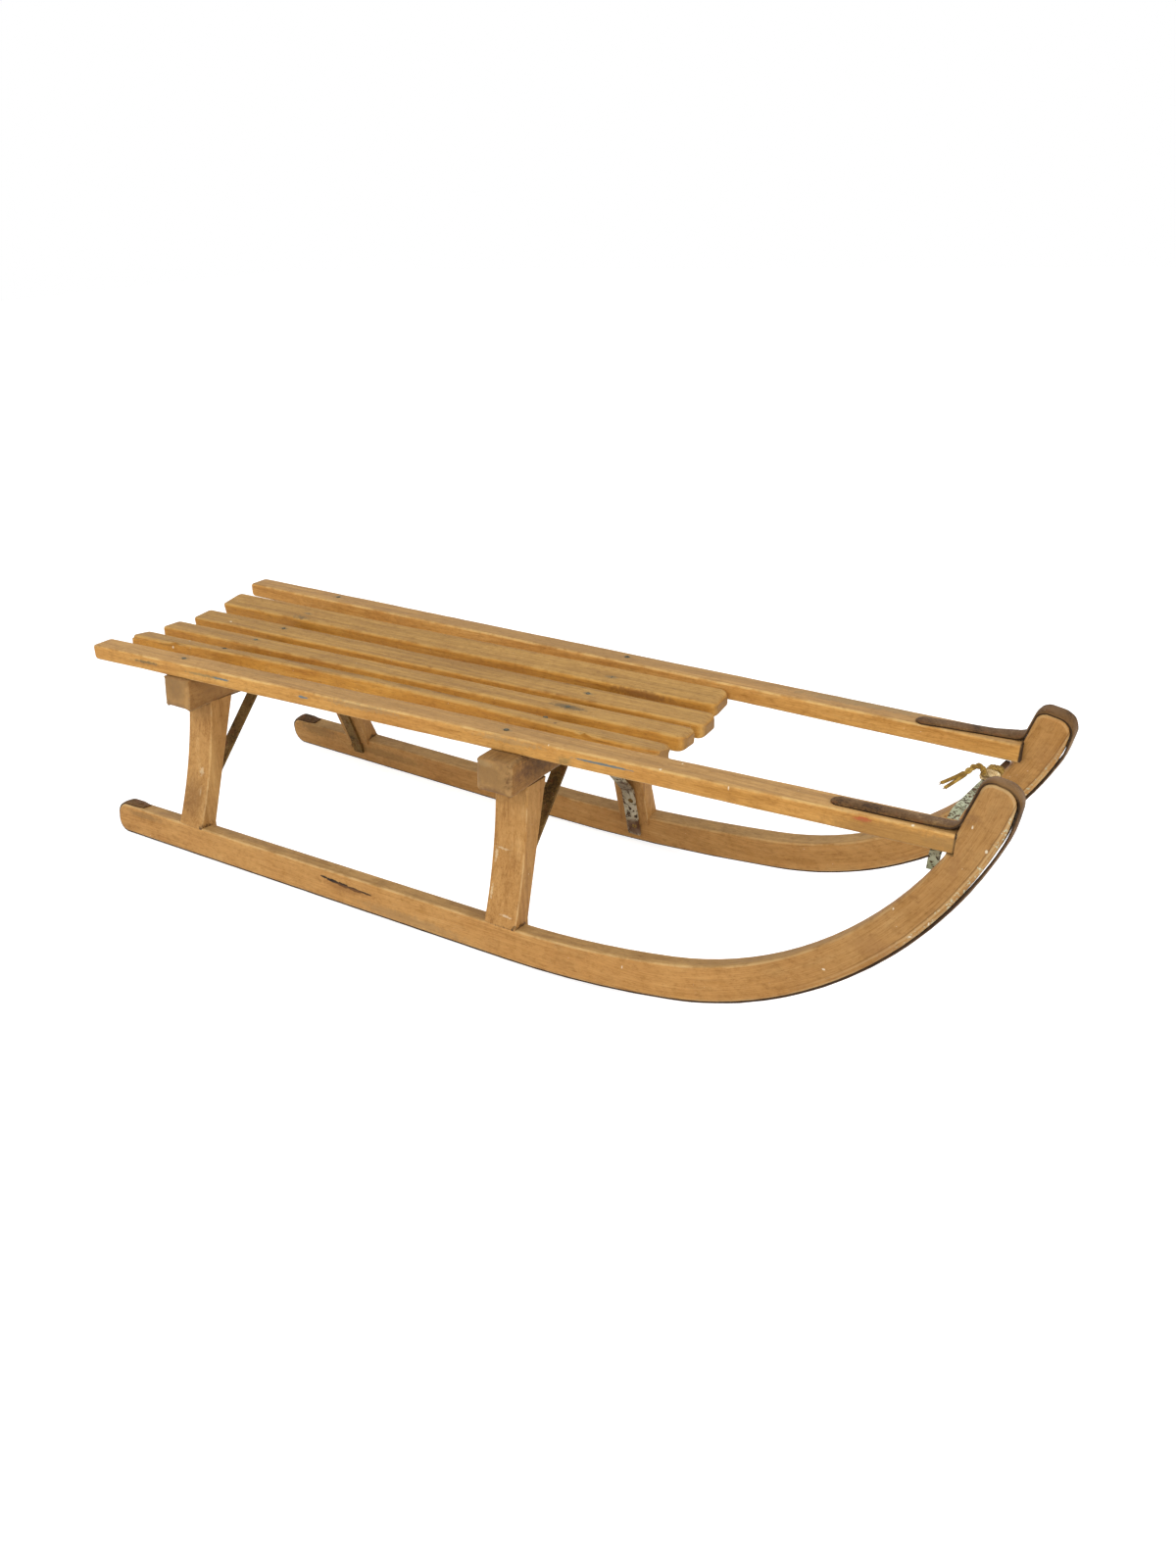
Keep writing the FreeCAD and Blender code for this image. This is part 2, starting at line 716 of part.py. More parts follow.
# Rope: a winding of twine on the bar and the short tail that is left of it.
def ring_outline(wide, high, corner):
    """A rounded rectangle about the origin, as a closed row of edges."""
    points = [V(0, -high, 0), V(wide, -high, 0), V(wide, high, 0), V(-wide, high, 0)]
    points += [V(-wide, -high, 0), V(0, -high, 0)]
    return rounded(points, [corner] * 4)


def make_winding():
    thick, gap = size("twine_diameter"), size("winding_clearance")
    half_wide, half_high = size("bar_width") / 2 + gap, size("bar_thickness") / 2 + gap
    outer = ring_outline(half_wide + thick, half_high + thick, thick)
    inner = ring_outline(half_wide, half_high, gap)
    body, _ = body_with_pad("rope_winding", "XZ_Plane", outer + inner, "winding_length", False, True)
    middle = V(0, size("winding_start"), bar_crown - size("bar_thickness") / 2)
    body.Placement = bar_place.multiply(FreeCAD.Placement(middle, FreeCAD.Rotation()))
    body.Label = "rope_winding"
    return body


winding = make_winding()

# The tail's route from the winding's end face to the frayed ends, measured from the bar's
# crown: along the sled, across it from the middle and upwards.
TAIL = [
    (-2.6, 29.05, 2.0),
    (-2.8, 23.95, 3.1),
    (-2.1, 22.15, 7.1),
    (-3.6, 22.35, 11.8),
    (-9.3, 22.65, 12.4),
    (-14.9, 22.95, 4.9),
    (-21.3, 23.15, -2.3),
    (-31.5, 23.15, -11.5),
]


def cord_edges(points):
    """Straight runs and tangent arcs along points, each arc as large as its runs allow."""
    radii = []
    for before, corner, after in zip(points, points[1:], points[2:]):
        into, out = corner - before, after - corner
        turn = into.getAngle(out)
        radii.append(0.45 * min(into.Length, out.Length) / math.tan(turn / 2))
    print("cord radii", [round(radius, 1) for radius in radii])
    return rounded(points, radii)


def make_tail():
    crown = V(bar_x, middle_y, bar_crown)
    route = [crown + V(*point) for point in TAIL]
    path = Part.Wire([edge.toShape() for edge in cord_edges(route)])
    ring = Part.Circle(route[0], (route[1] - route[0]).normalize(), size("tail_diameter") / 2)
    tube = path.makePipeShell([Part.Wire([ring.toShape()])], True, True)
    tail = doc.addObject("Part::Feature", "rope_tail")
    tail.Shape = tube
    tail.Placement = FreeCAD.Placement()
    tail.Label = "rope_tail"
    section = math.pi * size("tail_diameter") ** 2 / 4
    print("tail length", round(path.Length, 1), "volume ratio", tube.Volume / (section * path.Length))
    return tail


tail = make_tail()

nodes = list(rails.values()) + slats + list(beams.values()) + list(runners.values())
nodes += list(bands.values()) + list(posts.values()) + list(braces.values())
nodes += [bar, winding, tail]

doc.recompute()
for item in doc.Objects:
    if "Invalid" in item.State or "Error" in item.State:
        raise RuntimeError(f"{item.Name} is {item.State}")
os.makedirs("parts", exist_ok=True)
for node in nodes:
    shape = node.Shape
    if shape.isNull() or not shape.isValid() or not shape.Solids:
        raise RuntimeError(f"{node.Label} has no sound shape")
    shape.exportStep(f"parts/{node.Label}.step")
    box = shape.BoundBox
    print(f"{node.Label:20s} {len(shape.Solids)} solid {shape.Volume / 1000:8.1f} cm3")
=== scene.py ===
import math
import random

import bmesh
import bpy
from mathutils import Matrix, Vector, noise


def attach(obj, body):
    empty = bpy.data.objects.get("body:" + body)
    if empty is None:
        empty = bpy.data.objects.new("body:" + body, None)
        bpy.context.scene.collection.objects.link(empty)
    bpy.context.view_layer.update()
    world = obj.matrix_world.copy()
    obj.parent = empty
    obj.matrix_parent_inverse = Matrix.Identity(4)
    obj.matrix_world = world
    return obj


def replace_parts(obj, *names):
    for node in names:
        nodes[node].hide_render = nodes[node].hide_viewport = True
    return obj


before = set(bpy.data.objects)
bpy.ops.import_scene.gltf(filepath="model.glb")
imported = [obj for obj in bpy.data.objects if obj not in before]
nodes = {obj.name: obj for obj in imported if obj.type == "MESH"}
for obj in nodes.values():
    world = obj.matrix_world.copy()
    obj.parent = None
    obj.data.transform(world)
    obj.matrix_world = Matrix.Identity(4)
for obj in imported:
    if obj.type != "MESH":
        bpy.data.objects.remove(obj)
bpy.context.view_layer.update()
scene = bpy.context.scene
mm = 0.001
white = (1, 1, 1, 1)
noise.seed_set(7)  # keeps the bars' planed waves the same in each run

# The sled's own sizes in millimetres, as the frame has them
sled = {
    "rearBeam": -346.5,
    "beamSpacing": 406,
    "middle": -2.35,
    "seatHeight": 221.4,
    "railHalf": (120.5, 104.5),  # at the rear and the front beam
    "hornFront": 828,  # from the rear beam
    "hornNeck": 40,
    "hornSlack": 3.4,  # how much tighter the wood's curl is than the band's
    "lean": 7.45,
    "runnerWide": 20,
    "runnerDeep": 34.5,
    "runnerRear": -119.5,
    "endRound": 13,
    "backSlope": 73,
    "topSlope": -12,
    "frontRound": 13,
    "backRound": 8,
    "topCurl": (90, 13),  # radius and turn
}
sides = {
    "right": {
        "sign": -1, "halfTrack": 152.3, "toe": 1.54, "lowCurl": (943, 10.1), "midTurn": 60.2,
        "endRise": 19.07, "lead": 0.2, "hornRise": 43, "skew": 0,
    },
    "left": {
        "sign": 1, "halfTrack": 157, "toe": 1.88, "lowCurl": (2000, 8.2), "midTurn": 57.8,
        "endRise": 6.24, "lead": 2.5, "hornRise": 32, "skew": 6,
    },
}
bandSizes = {
    "thick": 2.4,  # the line that the CAD band keeps
    "wide": 16,
    "stripWide": {"right": 14.2, "left": 15.4},
    "stripBack": 8.5,  # from the strip's far edge to the line it follows
    "stripStart": 26,
    "edge": 1.3,  # thickness at the band's edges
    "crown": 2.6,  # thickness along its middle
    "fold": 41,
    "foldEnd": (0.72, 0.55),  # width and height left at the fold's end
    "onRail": {"right": 96, "left": 90.5},
    "drawnIn": {"right": 1.7, "left": 2.1},  # how much closer than the frame's band it hugs the horn
    "cornerRound": 11,
    "dent": 0.22,
    "across": 9,
}
lean = math.radians(sled["lean"])
soleLift = (sled["runnerWide"] + bandSizes["wide"]) / 2 * math.sin(lean)
railFront = sled["hornFront"] - sled["hornNeck"]
railYaw = math.atan2(sled["railHalf"][1] - sled["railHalf"][0], sled["beamSpacing"])

# Camera, floor, lamps
cameraSetup = {
    "right": (0.81684317, 0.57537022, -0.0414288),
    "up": (-0.22863604, 0.38885247, 0.89247931),
    "back": (0.5296157, -0.71954351, 0.44918185),
    "place": (0.621104, -0.903634, 0.643041),
    "lens": 27.758,
    "sensor": 36,
    "shift": (0.0611, 0.0107),
}
lampSetup = {
    "key": {"place": (-0.2, -2.5, 2.2), "aim": (0, 0, 0.1), "size": 2.2, "power": 47},
    "fill": {"place": (2.6, -0.6, 1.6), "aim": (0.1, 0, 0.1), "size": 1.8, "power": 37},
    "back": {"place": (0.2, 2.6, 2.4), "aim": (0, 0, 0.15), "size": 2, "power": 14},
    "rear": {"place": (-2.6, -0.9, 1.3), "aim": (0, 0, 0.1), "size": 1.6, "power": 10},
}
floorSetup = {"half": 9, "seen": 0.62, "glow": 0.76, "bounce": 0.86, "sky": 0.6}


def makeCamera(setup):
    data = bpy.data.cameras.new("studioCamera")
    data.sensor_fit = "VERTICAL"
    data.sensor_height = setup["sensor"]
    data.lens = setup["lens"]
    data.shift_x, data.shift_y = setup["shift"]
    data.clip_start, data.clip_end = 0.05, 60
    camera = bpy.data.objects.new("studioCamera", data)
    scene.collection.objects.link(camera)
    turn = Matrix((setup["right"], setup["up"], setup["back"])).transposed().to_4x4()
    camera.matrix_world = Matrix.Translation(setup["place"]) @ turn
    scene.camera = camera


def makeLamp(name, setup):
    data = bpy.data.lights.new(name, "AREA")
    data.shape = "DISK"
    data.size = setup["size"]
    data.energy = setup["power"]
    lamp = bpy.data.objects.new(name, data)
    scene.collection.objects.link(lamp)
    place = Vector(setup["place"])
    look = (Vector(setup["aim"]) - place).to_track_quat("-Z", "Y")
    lamp.matrix_world = Matrix.Translation(place) @ look.to_matrix().to_4x4()


def paint(colour, factor=1):
    row = [min(255, part * factor) / 255 for part in colour]
    return tuple([c / 12.92 if c <= 0.04045 else ((c + 0.055) / 1.055) ** 2.4 for c in row] + [1])


# A node tree, and on it a finish of a material or the world
class NodeBoard:
    def __init__(self, tree):
        self.tree = tree

    def node(self, kind, feeds=None, **settings):
        made = self.tree.nodes.new(kind)
        for key, value in settings.items():
            setattr(made, key, value)
        for key, value in (feeds or {}).items():
            self.feed(made.inputs[key], value)
        return made

    def feed(self, socket, value):
        if isinstance(value, bpy.types.NodeSocket):
            self.tree.links.new(value, socket)
        else:
            socket.default_value = value

    def calc(self, operation, first, second=0, clamp=False):
        return self.node("ShaderNodeMath", {0: first, 1: second}, operation=operation, use_clamp=clamp).outputs[0]

    def times(self, first, *others):
        for other in others:
            first = self.calc("MULTIPLY", first, other)
        return first

    def plus(self, first, *others):
        for other in others:
            first = self.calc("ADD", first, other)
        return first

    def weigh(self, *pairs):
        return self.plus(*[value if share == 1 else self.times(value, share) for value, share in pairs])

    def join(self, *parts):
        return self.node("ShaderNodeCombineXYZ", dict(enumerate(parts))).outputs[0]


class Recipe(NodeBoard):
    def __init__(self, name, kind=bpy.data.materials):
        self.owner = kind.new(name)
        self.owner.use_nodes = True
        super().__init__(self.owner.node_tree)
        self.tree.nodes.clear()

    def parts(self, vector):
        return self.node("ShaderNodeSeparateXYZ", {0: vector}).outputs

    def vector(self, operation, first, second=(0, 0, 0)):
        made = self.node("ShaderNodeVectorMath", {0: first, 1: second}, operation=operation)
        return made.outputs["Value" if operation == "LENGTH" else "Vector"]

    def stretch(self, where, scale):
        return self.vector("MULTIPLY", where, scale)

    def mapped(self, where, **feeds):
        feeds = {key.capitalize(): value for key, value in feeds.items()}
        return self.node("ShaderNodeMapping", {"Vector": where, **feeds}, vector_type="TEXTURE").outputs[0]

    def noise(self, where, scale, detail=3, rough=0.5, warp=0):
        feeds = {"Vector": where, "Scale": scale, "Detail": detail, "Roughness": rough, "Distortion": warp}
        return self.node("ShaderNodeTexNoise", feeds).outputs[0]

    def ramp(self, value, low, high, first=0, last=1):
        feeds = {"Value": value, "From Min": low, "From Max": high, "To Min": first, "To Max": last}
        return self.node("ShaderNodeMapRange", feeds, interpolation_type="SMOOTHSTEP").outputs["Result"]

    def blend(self, factor, first, second, mode="MIX"):
        made = self.node("ShaderNodeMix", data_type="RGBA", blend_type=mode)
        for number, value in ((0, factor), (6, first), (7, second)):
            self.feed(made.inputs[number], value)
        return made.outputs[2]

    # The colour so far, from a look's deep, middle and pale shades, then covered and tinted
    def base(self, look, middle, pale):
        self.colour = paint(look["deep"])
        self.cover(self.ramp(*middle), look["middle"])
        self.cover(self.ramp(*pale), look["pale"])

    def cover(self, share, shade):
        self.colour = self.blend(share, self.colour, paint(shade))

    def tint(self, share, shade):
        self.colour = self.blend(share, self.colour, (*shade, 1), "MULTIPLY")

    # A stain round a spot, radii in millimetres, its edge broken by the jitter
    def mark(self, place, jitter, at, radii, shade, share, ragged=0.6, soft=0.4, turn=(0, 0, 0)):
        local = self.mapped(place, location=[v * mm for v in at], rotation=turn, scale=[v * mm for v in radii])
        reach = self.plus(self.vector("LENGTH", local), self.times(jitter, ragged))
        self.cover(self.ramp(reach, 1, soft, 0, share), shade)

    def seen(self):
        rays = self.node("ShaderNodeLightPath").outputs
        most = self.calc("MAXIMUM", rays["Is Camera Ray"], rays["Is Glossy Ray"])
        return self.calc("MAXIMUM", most, rays["Is Transmission Ray"])

    def finish(self, roughness, height, depth, shader):
        bump = self.node("ShaderNodeBump", {"Height": height, "Distance": depth, "Strength": 1}).outputs[0]
        feeds = {"Base Color": self.colour, "Roughness": roughness, "Normal": bump, **shader}
        surface = self.node("ShaderNodeBsdfPrincipled", feeds).outputs[0]
        self.node("ShaderNodeOutputMaterial", {"Surface": surface}).is_active_output = True
        return self.owner


def makeFloor(setup):
    mesh = bpy.data.meshes.new("studioFloor")
    half = setup["half"]
    corners = [(-half, -half, 0), (half, -half, 0), (half, half, 0), (-half, half, 0)]
    mesh.from_pydata(corners, [], [(0, 1, 2, 3)])
    floor = bpy.data.objects.new("studioFloor", mesh)
    scene.collection.objects.link(floor)
    made = Recipe("studioPaper")
    lit, bounce = [
        made.node("ShaderNodeBsdfDiffuse", {"Color": (setup[key],) * 3 + (1,)}).outputs[0]
        for key in ("seen", "bounce")
    ]
    glow = made.node("ShaderNodeEmission", {"Color": white, "Strength": setup["glow"]}).outputs[0]
    shown = made.node("ShaderNodeAddShader", {0: lit, 1: glow}).outputs[0]
    both = made.node("ShaderNodeMixShader", {0: made.seen(), 1: bounce, 2: shown}).outputs[0]
    made.node("ShaderNodeOutputMaterial", {"Surface": both})
    mesh.materials.append(made.owner)


def makeWorld(setup):
    made = Recipe("studioWorld", bpy.data.worlds)
    feeds = {"Value": made.seen(), "To Min": setup["sky"], "To Max": 1}
    strength = made.node("ShaderNodeMapRange", feeds).outputs["Result"]
    sky = made.node("ShaderNodeBackground", {"Color": white, "Strength": strength}).outputs[0]
    made.node("ShaderNodeOutputWorld", {"Surface": sky})
    scene.world = made.owner


makeCamera(cameraSetup)
makeFloor(floorSetup)
makeWorld(floorSetup)
for lampName, lampValues in lampSetup.items():
    makeLamp(lampName, lampValues)
scene.view_settings.view_transform = "Standard"
print("camera, floor and lamps set")


# Lines in the leaning plane of a runner, x along it and y up it
def polar(angle):
    return Vector((math.cos(math.radians(angle)), math.sin(math.radians(angle))))


def leftOf(direction):
    return Vector((-direction.y, direction.x))


def crossing(pointA, angleA, pointB, angleB):
    alongA, alongB = polar(angleA), polar(angleB)
    gap = pointB - pointA
    reach = (gap.x * alongB.y - gap.y * alongB.x) / (alongA.x * alongB.y - alongA.y * alongB.x)
    return pointA + alongA * reach


def straight(first, last, step=14):
    count = max(1, round((last - first).length / step))
    return [first.lerp(last, number / count) for number in range(count)]


def arc(centre, radius, first, turn, step=4):
    count = max(2, round(abs(turn) / step))
    return [centre + polar(first + turn * number / count) * radius for number in range(count)]


def rounded(points, radii):
    row, here = [], points[0]
    for before, corner, after, radius in zip(points, points[1:], points[2:], radii):
        into, out = (corner - before).normalized(), (after - corner).normalized()
        turn = math.degrees(into.angle_signed(out)) * -1
        cut = radius * math.tan(abs(math.radians(turn)) / 2)
        first = corner - into * cut
        centre = first + leftOf(into) * radius * (1 if turn > 0 else -1)
        spoke = first - centre
        row += straight(here, first)
        row += arc(centre, radius, math.degrees(math.atan2(spoke.y, spoke.x)), turn)
        here = corner + out * cut
    return row + straight(here, points[-1]) + [points[-1]]


def curlOf(side):
    low, lowTurn = sides[side]["lowCurl"]
    top, topTurn = sled["topCurl"]
    second = lowTurn + sides[side]["midTurn"]
    one, two, three = [math.cos(math.radians(angle)) for angle in (lowTurn, second, second + topTurn)]
    height = (sled["seatHeight"] - soleLift) / math.cos(lean) + sides[side]["endRise"]
    mid = (height - low * (1 - one) - top * (two - three)) / (one - two)
    arcs = [(low, lowTurn), (mid, sides[side]["midTurn"]), (top, topTurn)]
    reach, heading = 0, 0
    for radius, turn in arcs:
        reach += radius * (math.sin(math.radians(heading + turn)) - math.sin(math.radians(heading)))
        heading += turn
    return arcs, sled["hornFront"] - reach - sides[side]["lead"]


def curlCentre(side):
    arcs, start = curlOf(side)
    (low, lowTurn), (mid, _), _ = arcs
    return Vector((start, low)) + polar(lowTurn - 90) * (low - mid), mid


def bandLine(side, inset):
    thick = bandSizes["thick"]
    arcs, start = curlOf(side)
    rear = sled["runnerRear"]
    low, high = inset, sled["runnerDeep"] + thick - inset
    row = rounded(
        [Vector((rear + bandSizes["fold"], high)), Vector((rear + inset, high)),
         Vector((rear + inset, low)), Vector((start, low))],
        [sled["endRound"] + thick - inset] * 2,
    )[:-1]
    here, heading = Vector((start, low)), 0
    for number, (radius, turn) in enumerate(arcs):
        radius -= inset + (bandSizes["drawnIn"][side] if number == 1 else 0)
        centre = here + leftOf(polar(heading)) * radius
        row += arc(centre, radius, heading - 90, turn, 2)
        here = centre + polar(heading + turn - 90) * radius
        heading += turn
    railTop = (sled["seatHeight"] - soleLift) / math.cos(lean)
    foot = Vector((railFront, railTop)) + leftOf(polar(sled["backSlope"])) * (thick - inset)
    lift = (thick - inset) / math.cos(math.radians(sled["topSlope"]))
    peak = Vector((railFront + sled["hornNeck"] / 3, railTop + sides[side]["hornRise"] + lift))
    backCorner = crossing(foot, sled["backSlope"], peak, sled["topSlope"])
    frontCorner = crossing(here, heading, peak, sled["topSlope"])
    seat = sled["seatHeight"] / math.cos(lean) + thick - inset
    corner = crossing(foot, sled["backSlope"], Vector((0, seat)), 0)
    end = Vector((railFront - 2 * bandSizes["cornerRound"], seat))
    return row + rounded(
        [here, frontCorner, backCorner, corner, end],
        [sled["frontRound"] + thick - inset, sled["backRound"] + thick - inset,
         bandSizes["cornerRound"] - thick + inset],
    )


def sideFrame(side):
    sign = sides[side]["sign"]
    base = Vector((sled["rearBeam"], sled["middle"] + sign * sides[side]["halfTrack"], soleLift))
    turn = Matrix.Rotation(math.radians(-sign * sides[side]["toe"]), 4, "Z")
    return Matrix.Translation(base) @ turn @ Matrix.Rotation(sign * lean, 4, "X")


def sideSpot(side, along, up, inset=sled["runnerWide"] / 2):
    return sideFrame(side) @ Vector((along, -sides[side]["sign"] * inset, up))


# Meshes and pieces
def copyOf(node, flattened=True):
    shape = bmesh.new()
    shape.from_mesh(nodes[node].data)
    bmesh.ops.remove_doubles(shape, verts=shape.verts, dist=1e-6)
    if flattened:
        bmesh.ops.dissolve_limit(shape, angle_limit=math.radians(0.6), verts=shape.verts, edges=shape.edges)
    return shape


def meshOf(name, shape):
    bmesh.ops.recalc_face_normals(shape, faces=shape.faces)
    mesh = bpy.data.meshes.new(name)
    shape.to_mesh(mesh)
    shape.free()
    return mesh


def evaluated(piece):
    view = bpy.context.evaluated_depsgraph_get()
    return bpy.data.meshes.new_from_object(piece.evaluated_get(view))


def cutAcross(shape, spot, normal, **settings):
    everything = shape.verts[:] + shape.edges[:] + shape.faces[:]
    bmesh.ops.bisect_plane(shape, geom=everything, plane_co=spot, plane_no=normal, dist=1e-6, **settings)


def loft(shape, rings):
    count = len(rings[0])
    rings = [[shape.verts.new(point) for point in ring] for ring in rings]
    for first, second in zip(rings, rings[1:]):
        for step in range(count):
            after = (step + 1) % count
            shape.faces.new((first[step], first[after], second[after], second[step]))
    shape.faces.new(rings[0][::-1])
    shape.faces.new(rings[-1])
    return shape


def addPiece(name, mesh, finish, smooth=40):
    piece = bpy.data.objects.new(name, mesh)
    scene.collection.objects.link(piece)
    mesh.materials.clear()
    mesh.materials.append(finish)
    for polygon in mesh.polygons:
        polygon.use_smooth = True
    if smooth:
        mesh.set_sharp_from_angle(angle=math.radians(smooth))
    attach(piece, "root")
    return piece


# Wood: streaks along the grain, fibres, ray flecks, dirt, greyed tops, painted shade on downward faces, worn
# edges, marks (some of them painted shadow)
woodLooks = {
    "rails": {
        "grain": "x", "deep": (180, 128, 58), "middle": (202, 150, 78), "pale": (214, 168, 98),
        "top": (178, 140, 88), "topShare": 0.85, "end": (150, 114, 68), "dirt": 0.45, "under": 0.25,
        "edge": (222, 188, 124), "edgeShare": 0.45,
    },
    "slats": {
        "grain": "x", "deep": (166, 112, 40), "middle": (188, 134, 54), "pale": (202, 152, 74),
        "top": (172, 136, 80), "topShare": 0.85, "end": (148, 114, 70), "dirt": 0.5, "under": 0.25,
        "edge": (200, 162, 96), "edgeShare": 0.4,
    },
    "posts": {
        "grain": "z", "deep": (162, 116, 60), "middle": (188, 142, 82), "pale": (204, 162, 104),
        "top": (140, 112, 72), "topShare": 0.5, "end": (160, 124, 78), "dirt": 0.5, "under": 0.2,
        "edge": (212, 180, 130), "edgeShare": 0.4,
    },
    "beams": {
        "grain": "y", "deep": (124, 86, 42), "middle": (146, 106, 56), "pale": (166, 126, 74),
        "top": (140, 112, 72), "topShare": 0.5, "end": (172, 132, 80), "dirt": 0.65, "under": 0.4,
        "edge": (186, 152, 104), "edgeShare": 0.35,
    },
    "runners": {
        "grain": "curl", "deep": (172, 124, 62), "middle": (192, 144, 82), "pale": (204, 160, 98),
        "top": (180, 146, 94), "topShare": 0.85, "dirt": 0.55, "under": 0.2,
        "edge": (214, 180, 124), "edgeShare": 0.4, "curlDarkened": {"right": 1, "left": 0.3},
    },
}
woodPatterns = {  # stretch along and across the grain, detail, roughness, warp
    "streaks": (6, 230, 5, 0.62, 0.4),
    "broad": (4, 52, 3, 0.5, 0),
    "fibres": (34, 1500, 3, 0.7, 0),
    "flecks": (150, 1100, 2, 0.5, 0),
}
stainPatterns = {  # scale, detail, roughness
    "cloud": (9, 4, 0.6),
    "patch": (34, 4, 0.65),
    "crumbs": (420, 3, 0.6),
    "ragged": (260, 4, 0.7),
}
toneShares = {"straight": (0.55, 0.25, 0.2), "curl": (0.4, 0.2, 0.4)}  # of streaks, broad and patch
woodTints = {
    "warm": (0.78, 0.66, 0.52), "dirt": (0.55, 0.47, 0.36), "grime": (0.58, 0.5, 0.4),
    "bleached": (1.22, 1.18, 1.12), "fleck": (0.5, 0.38, 0.26), "fibre": (0.5, 0.42, 0.32),
    "curlDarkened": (0.77, 0.775, 0.81),
}
woodPaints = {
    "under": (120, 88, 50), "bevel": (196, 166, 118), "groove": (92, 64, 36), "flake": (186, 184, 154),
    "crumb": (226, 216, 192), "pit": (70, 50, 32),
}


# The wood's own axes, with the normals towards its edges and its ends; round a curl also the depth
# from the band's line and the angle turned
def grainOf(made, grain, place, facing, side):
    normal = made.parts(facing)
    if grain == "x":
        return place, normal[1], normal[0], None, None
    if grain in ("y", "z"):
        parts = made.parts(place)
        order = (1, 0, 2) if grain == "y" else (2, 1, 0)
        return made.join(*[parts[part] for part in order]), normal[0], normal[order[0]], None, None
    centre, mid = curlCentre(side)
    mid *= mm
    whole = sideFrame(side)
    spot = (whole @ Vector((centre.x, 0, centre.y))) * mm
    turn = whole.to_euler()
    x, y, z = made.parts(made.mapped(place, location=spot, rotation=turn, scale=(1, 1, 1)))
    radius = made.calc("SQRT", made.plus(made.times(x, x), made.times(z, z)))
    down = made.times(z, -1)
    angle = made.calc("ARCTAN2", x, down)
    ahead = made.calc("GREATER_THAN", x, 0)
    behind = made.calc("SUBTRACT", 1, ahead)
    along = made.plus(made.times(angle, mid, ahead), made.times(behind, x))
    across = made.plus(made.times(radius, ahead), made.times(behind, down))
    depth = made.calc("SUBTRACT", mid - (bandSizes["thick"] + sled["hornSlack"]) * mm, across)
    leaning = made.parts(made.mapped(facing, rotation=turn))
    return made.join(along, across, y), leaning[1], leaning[0], depth, made.times(angle, ahead)


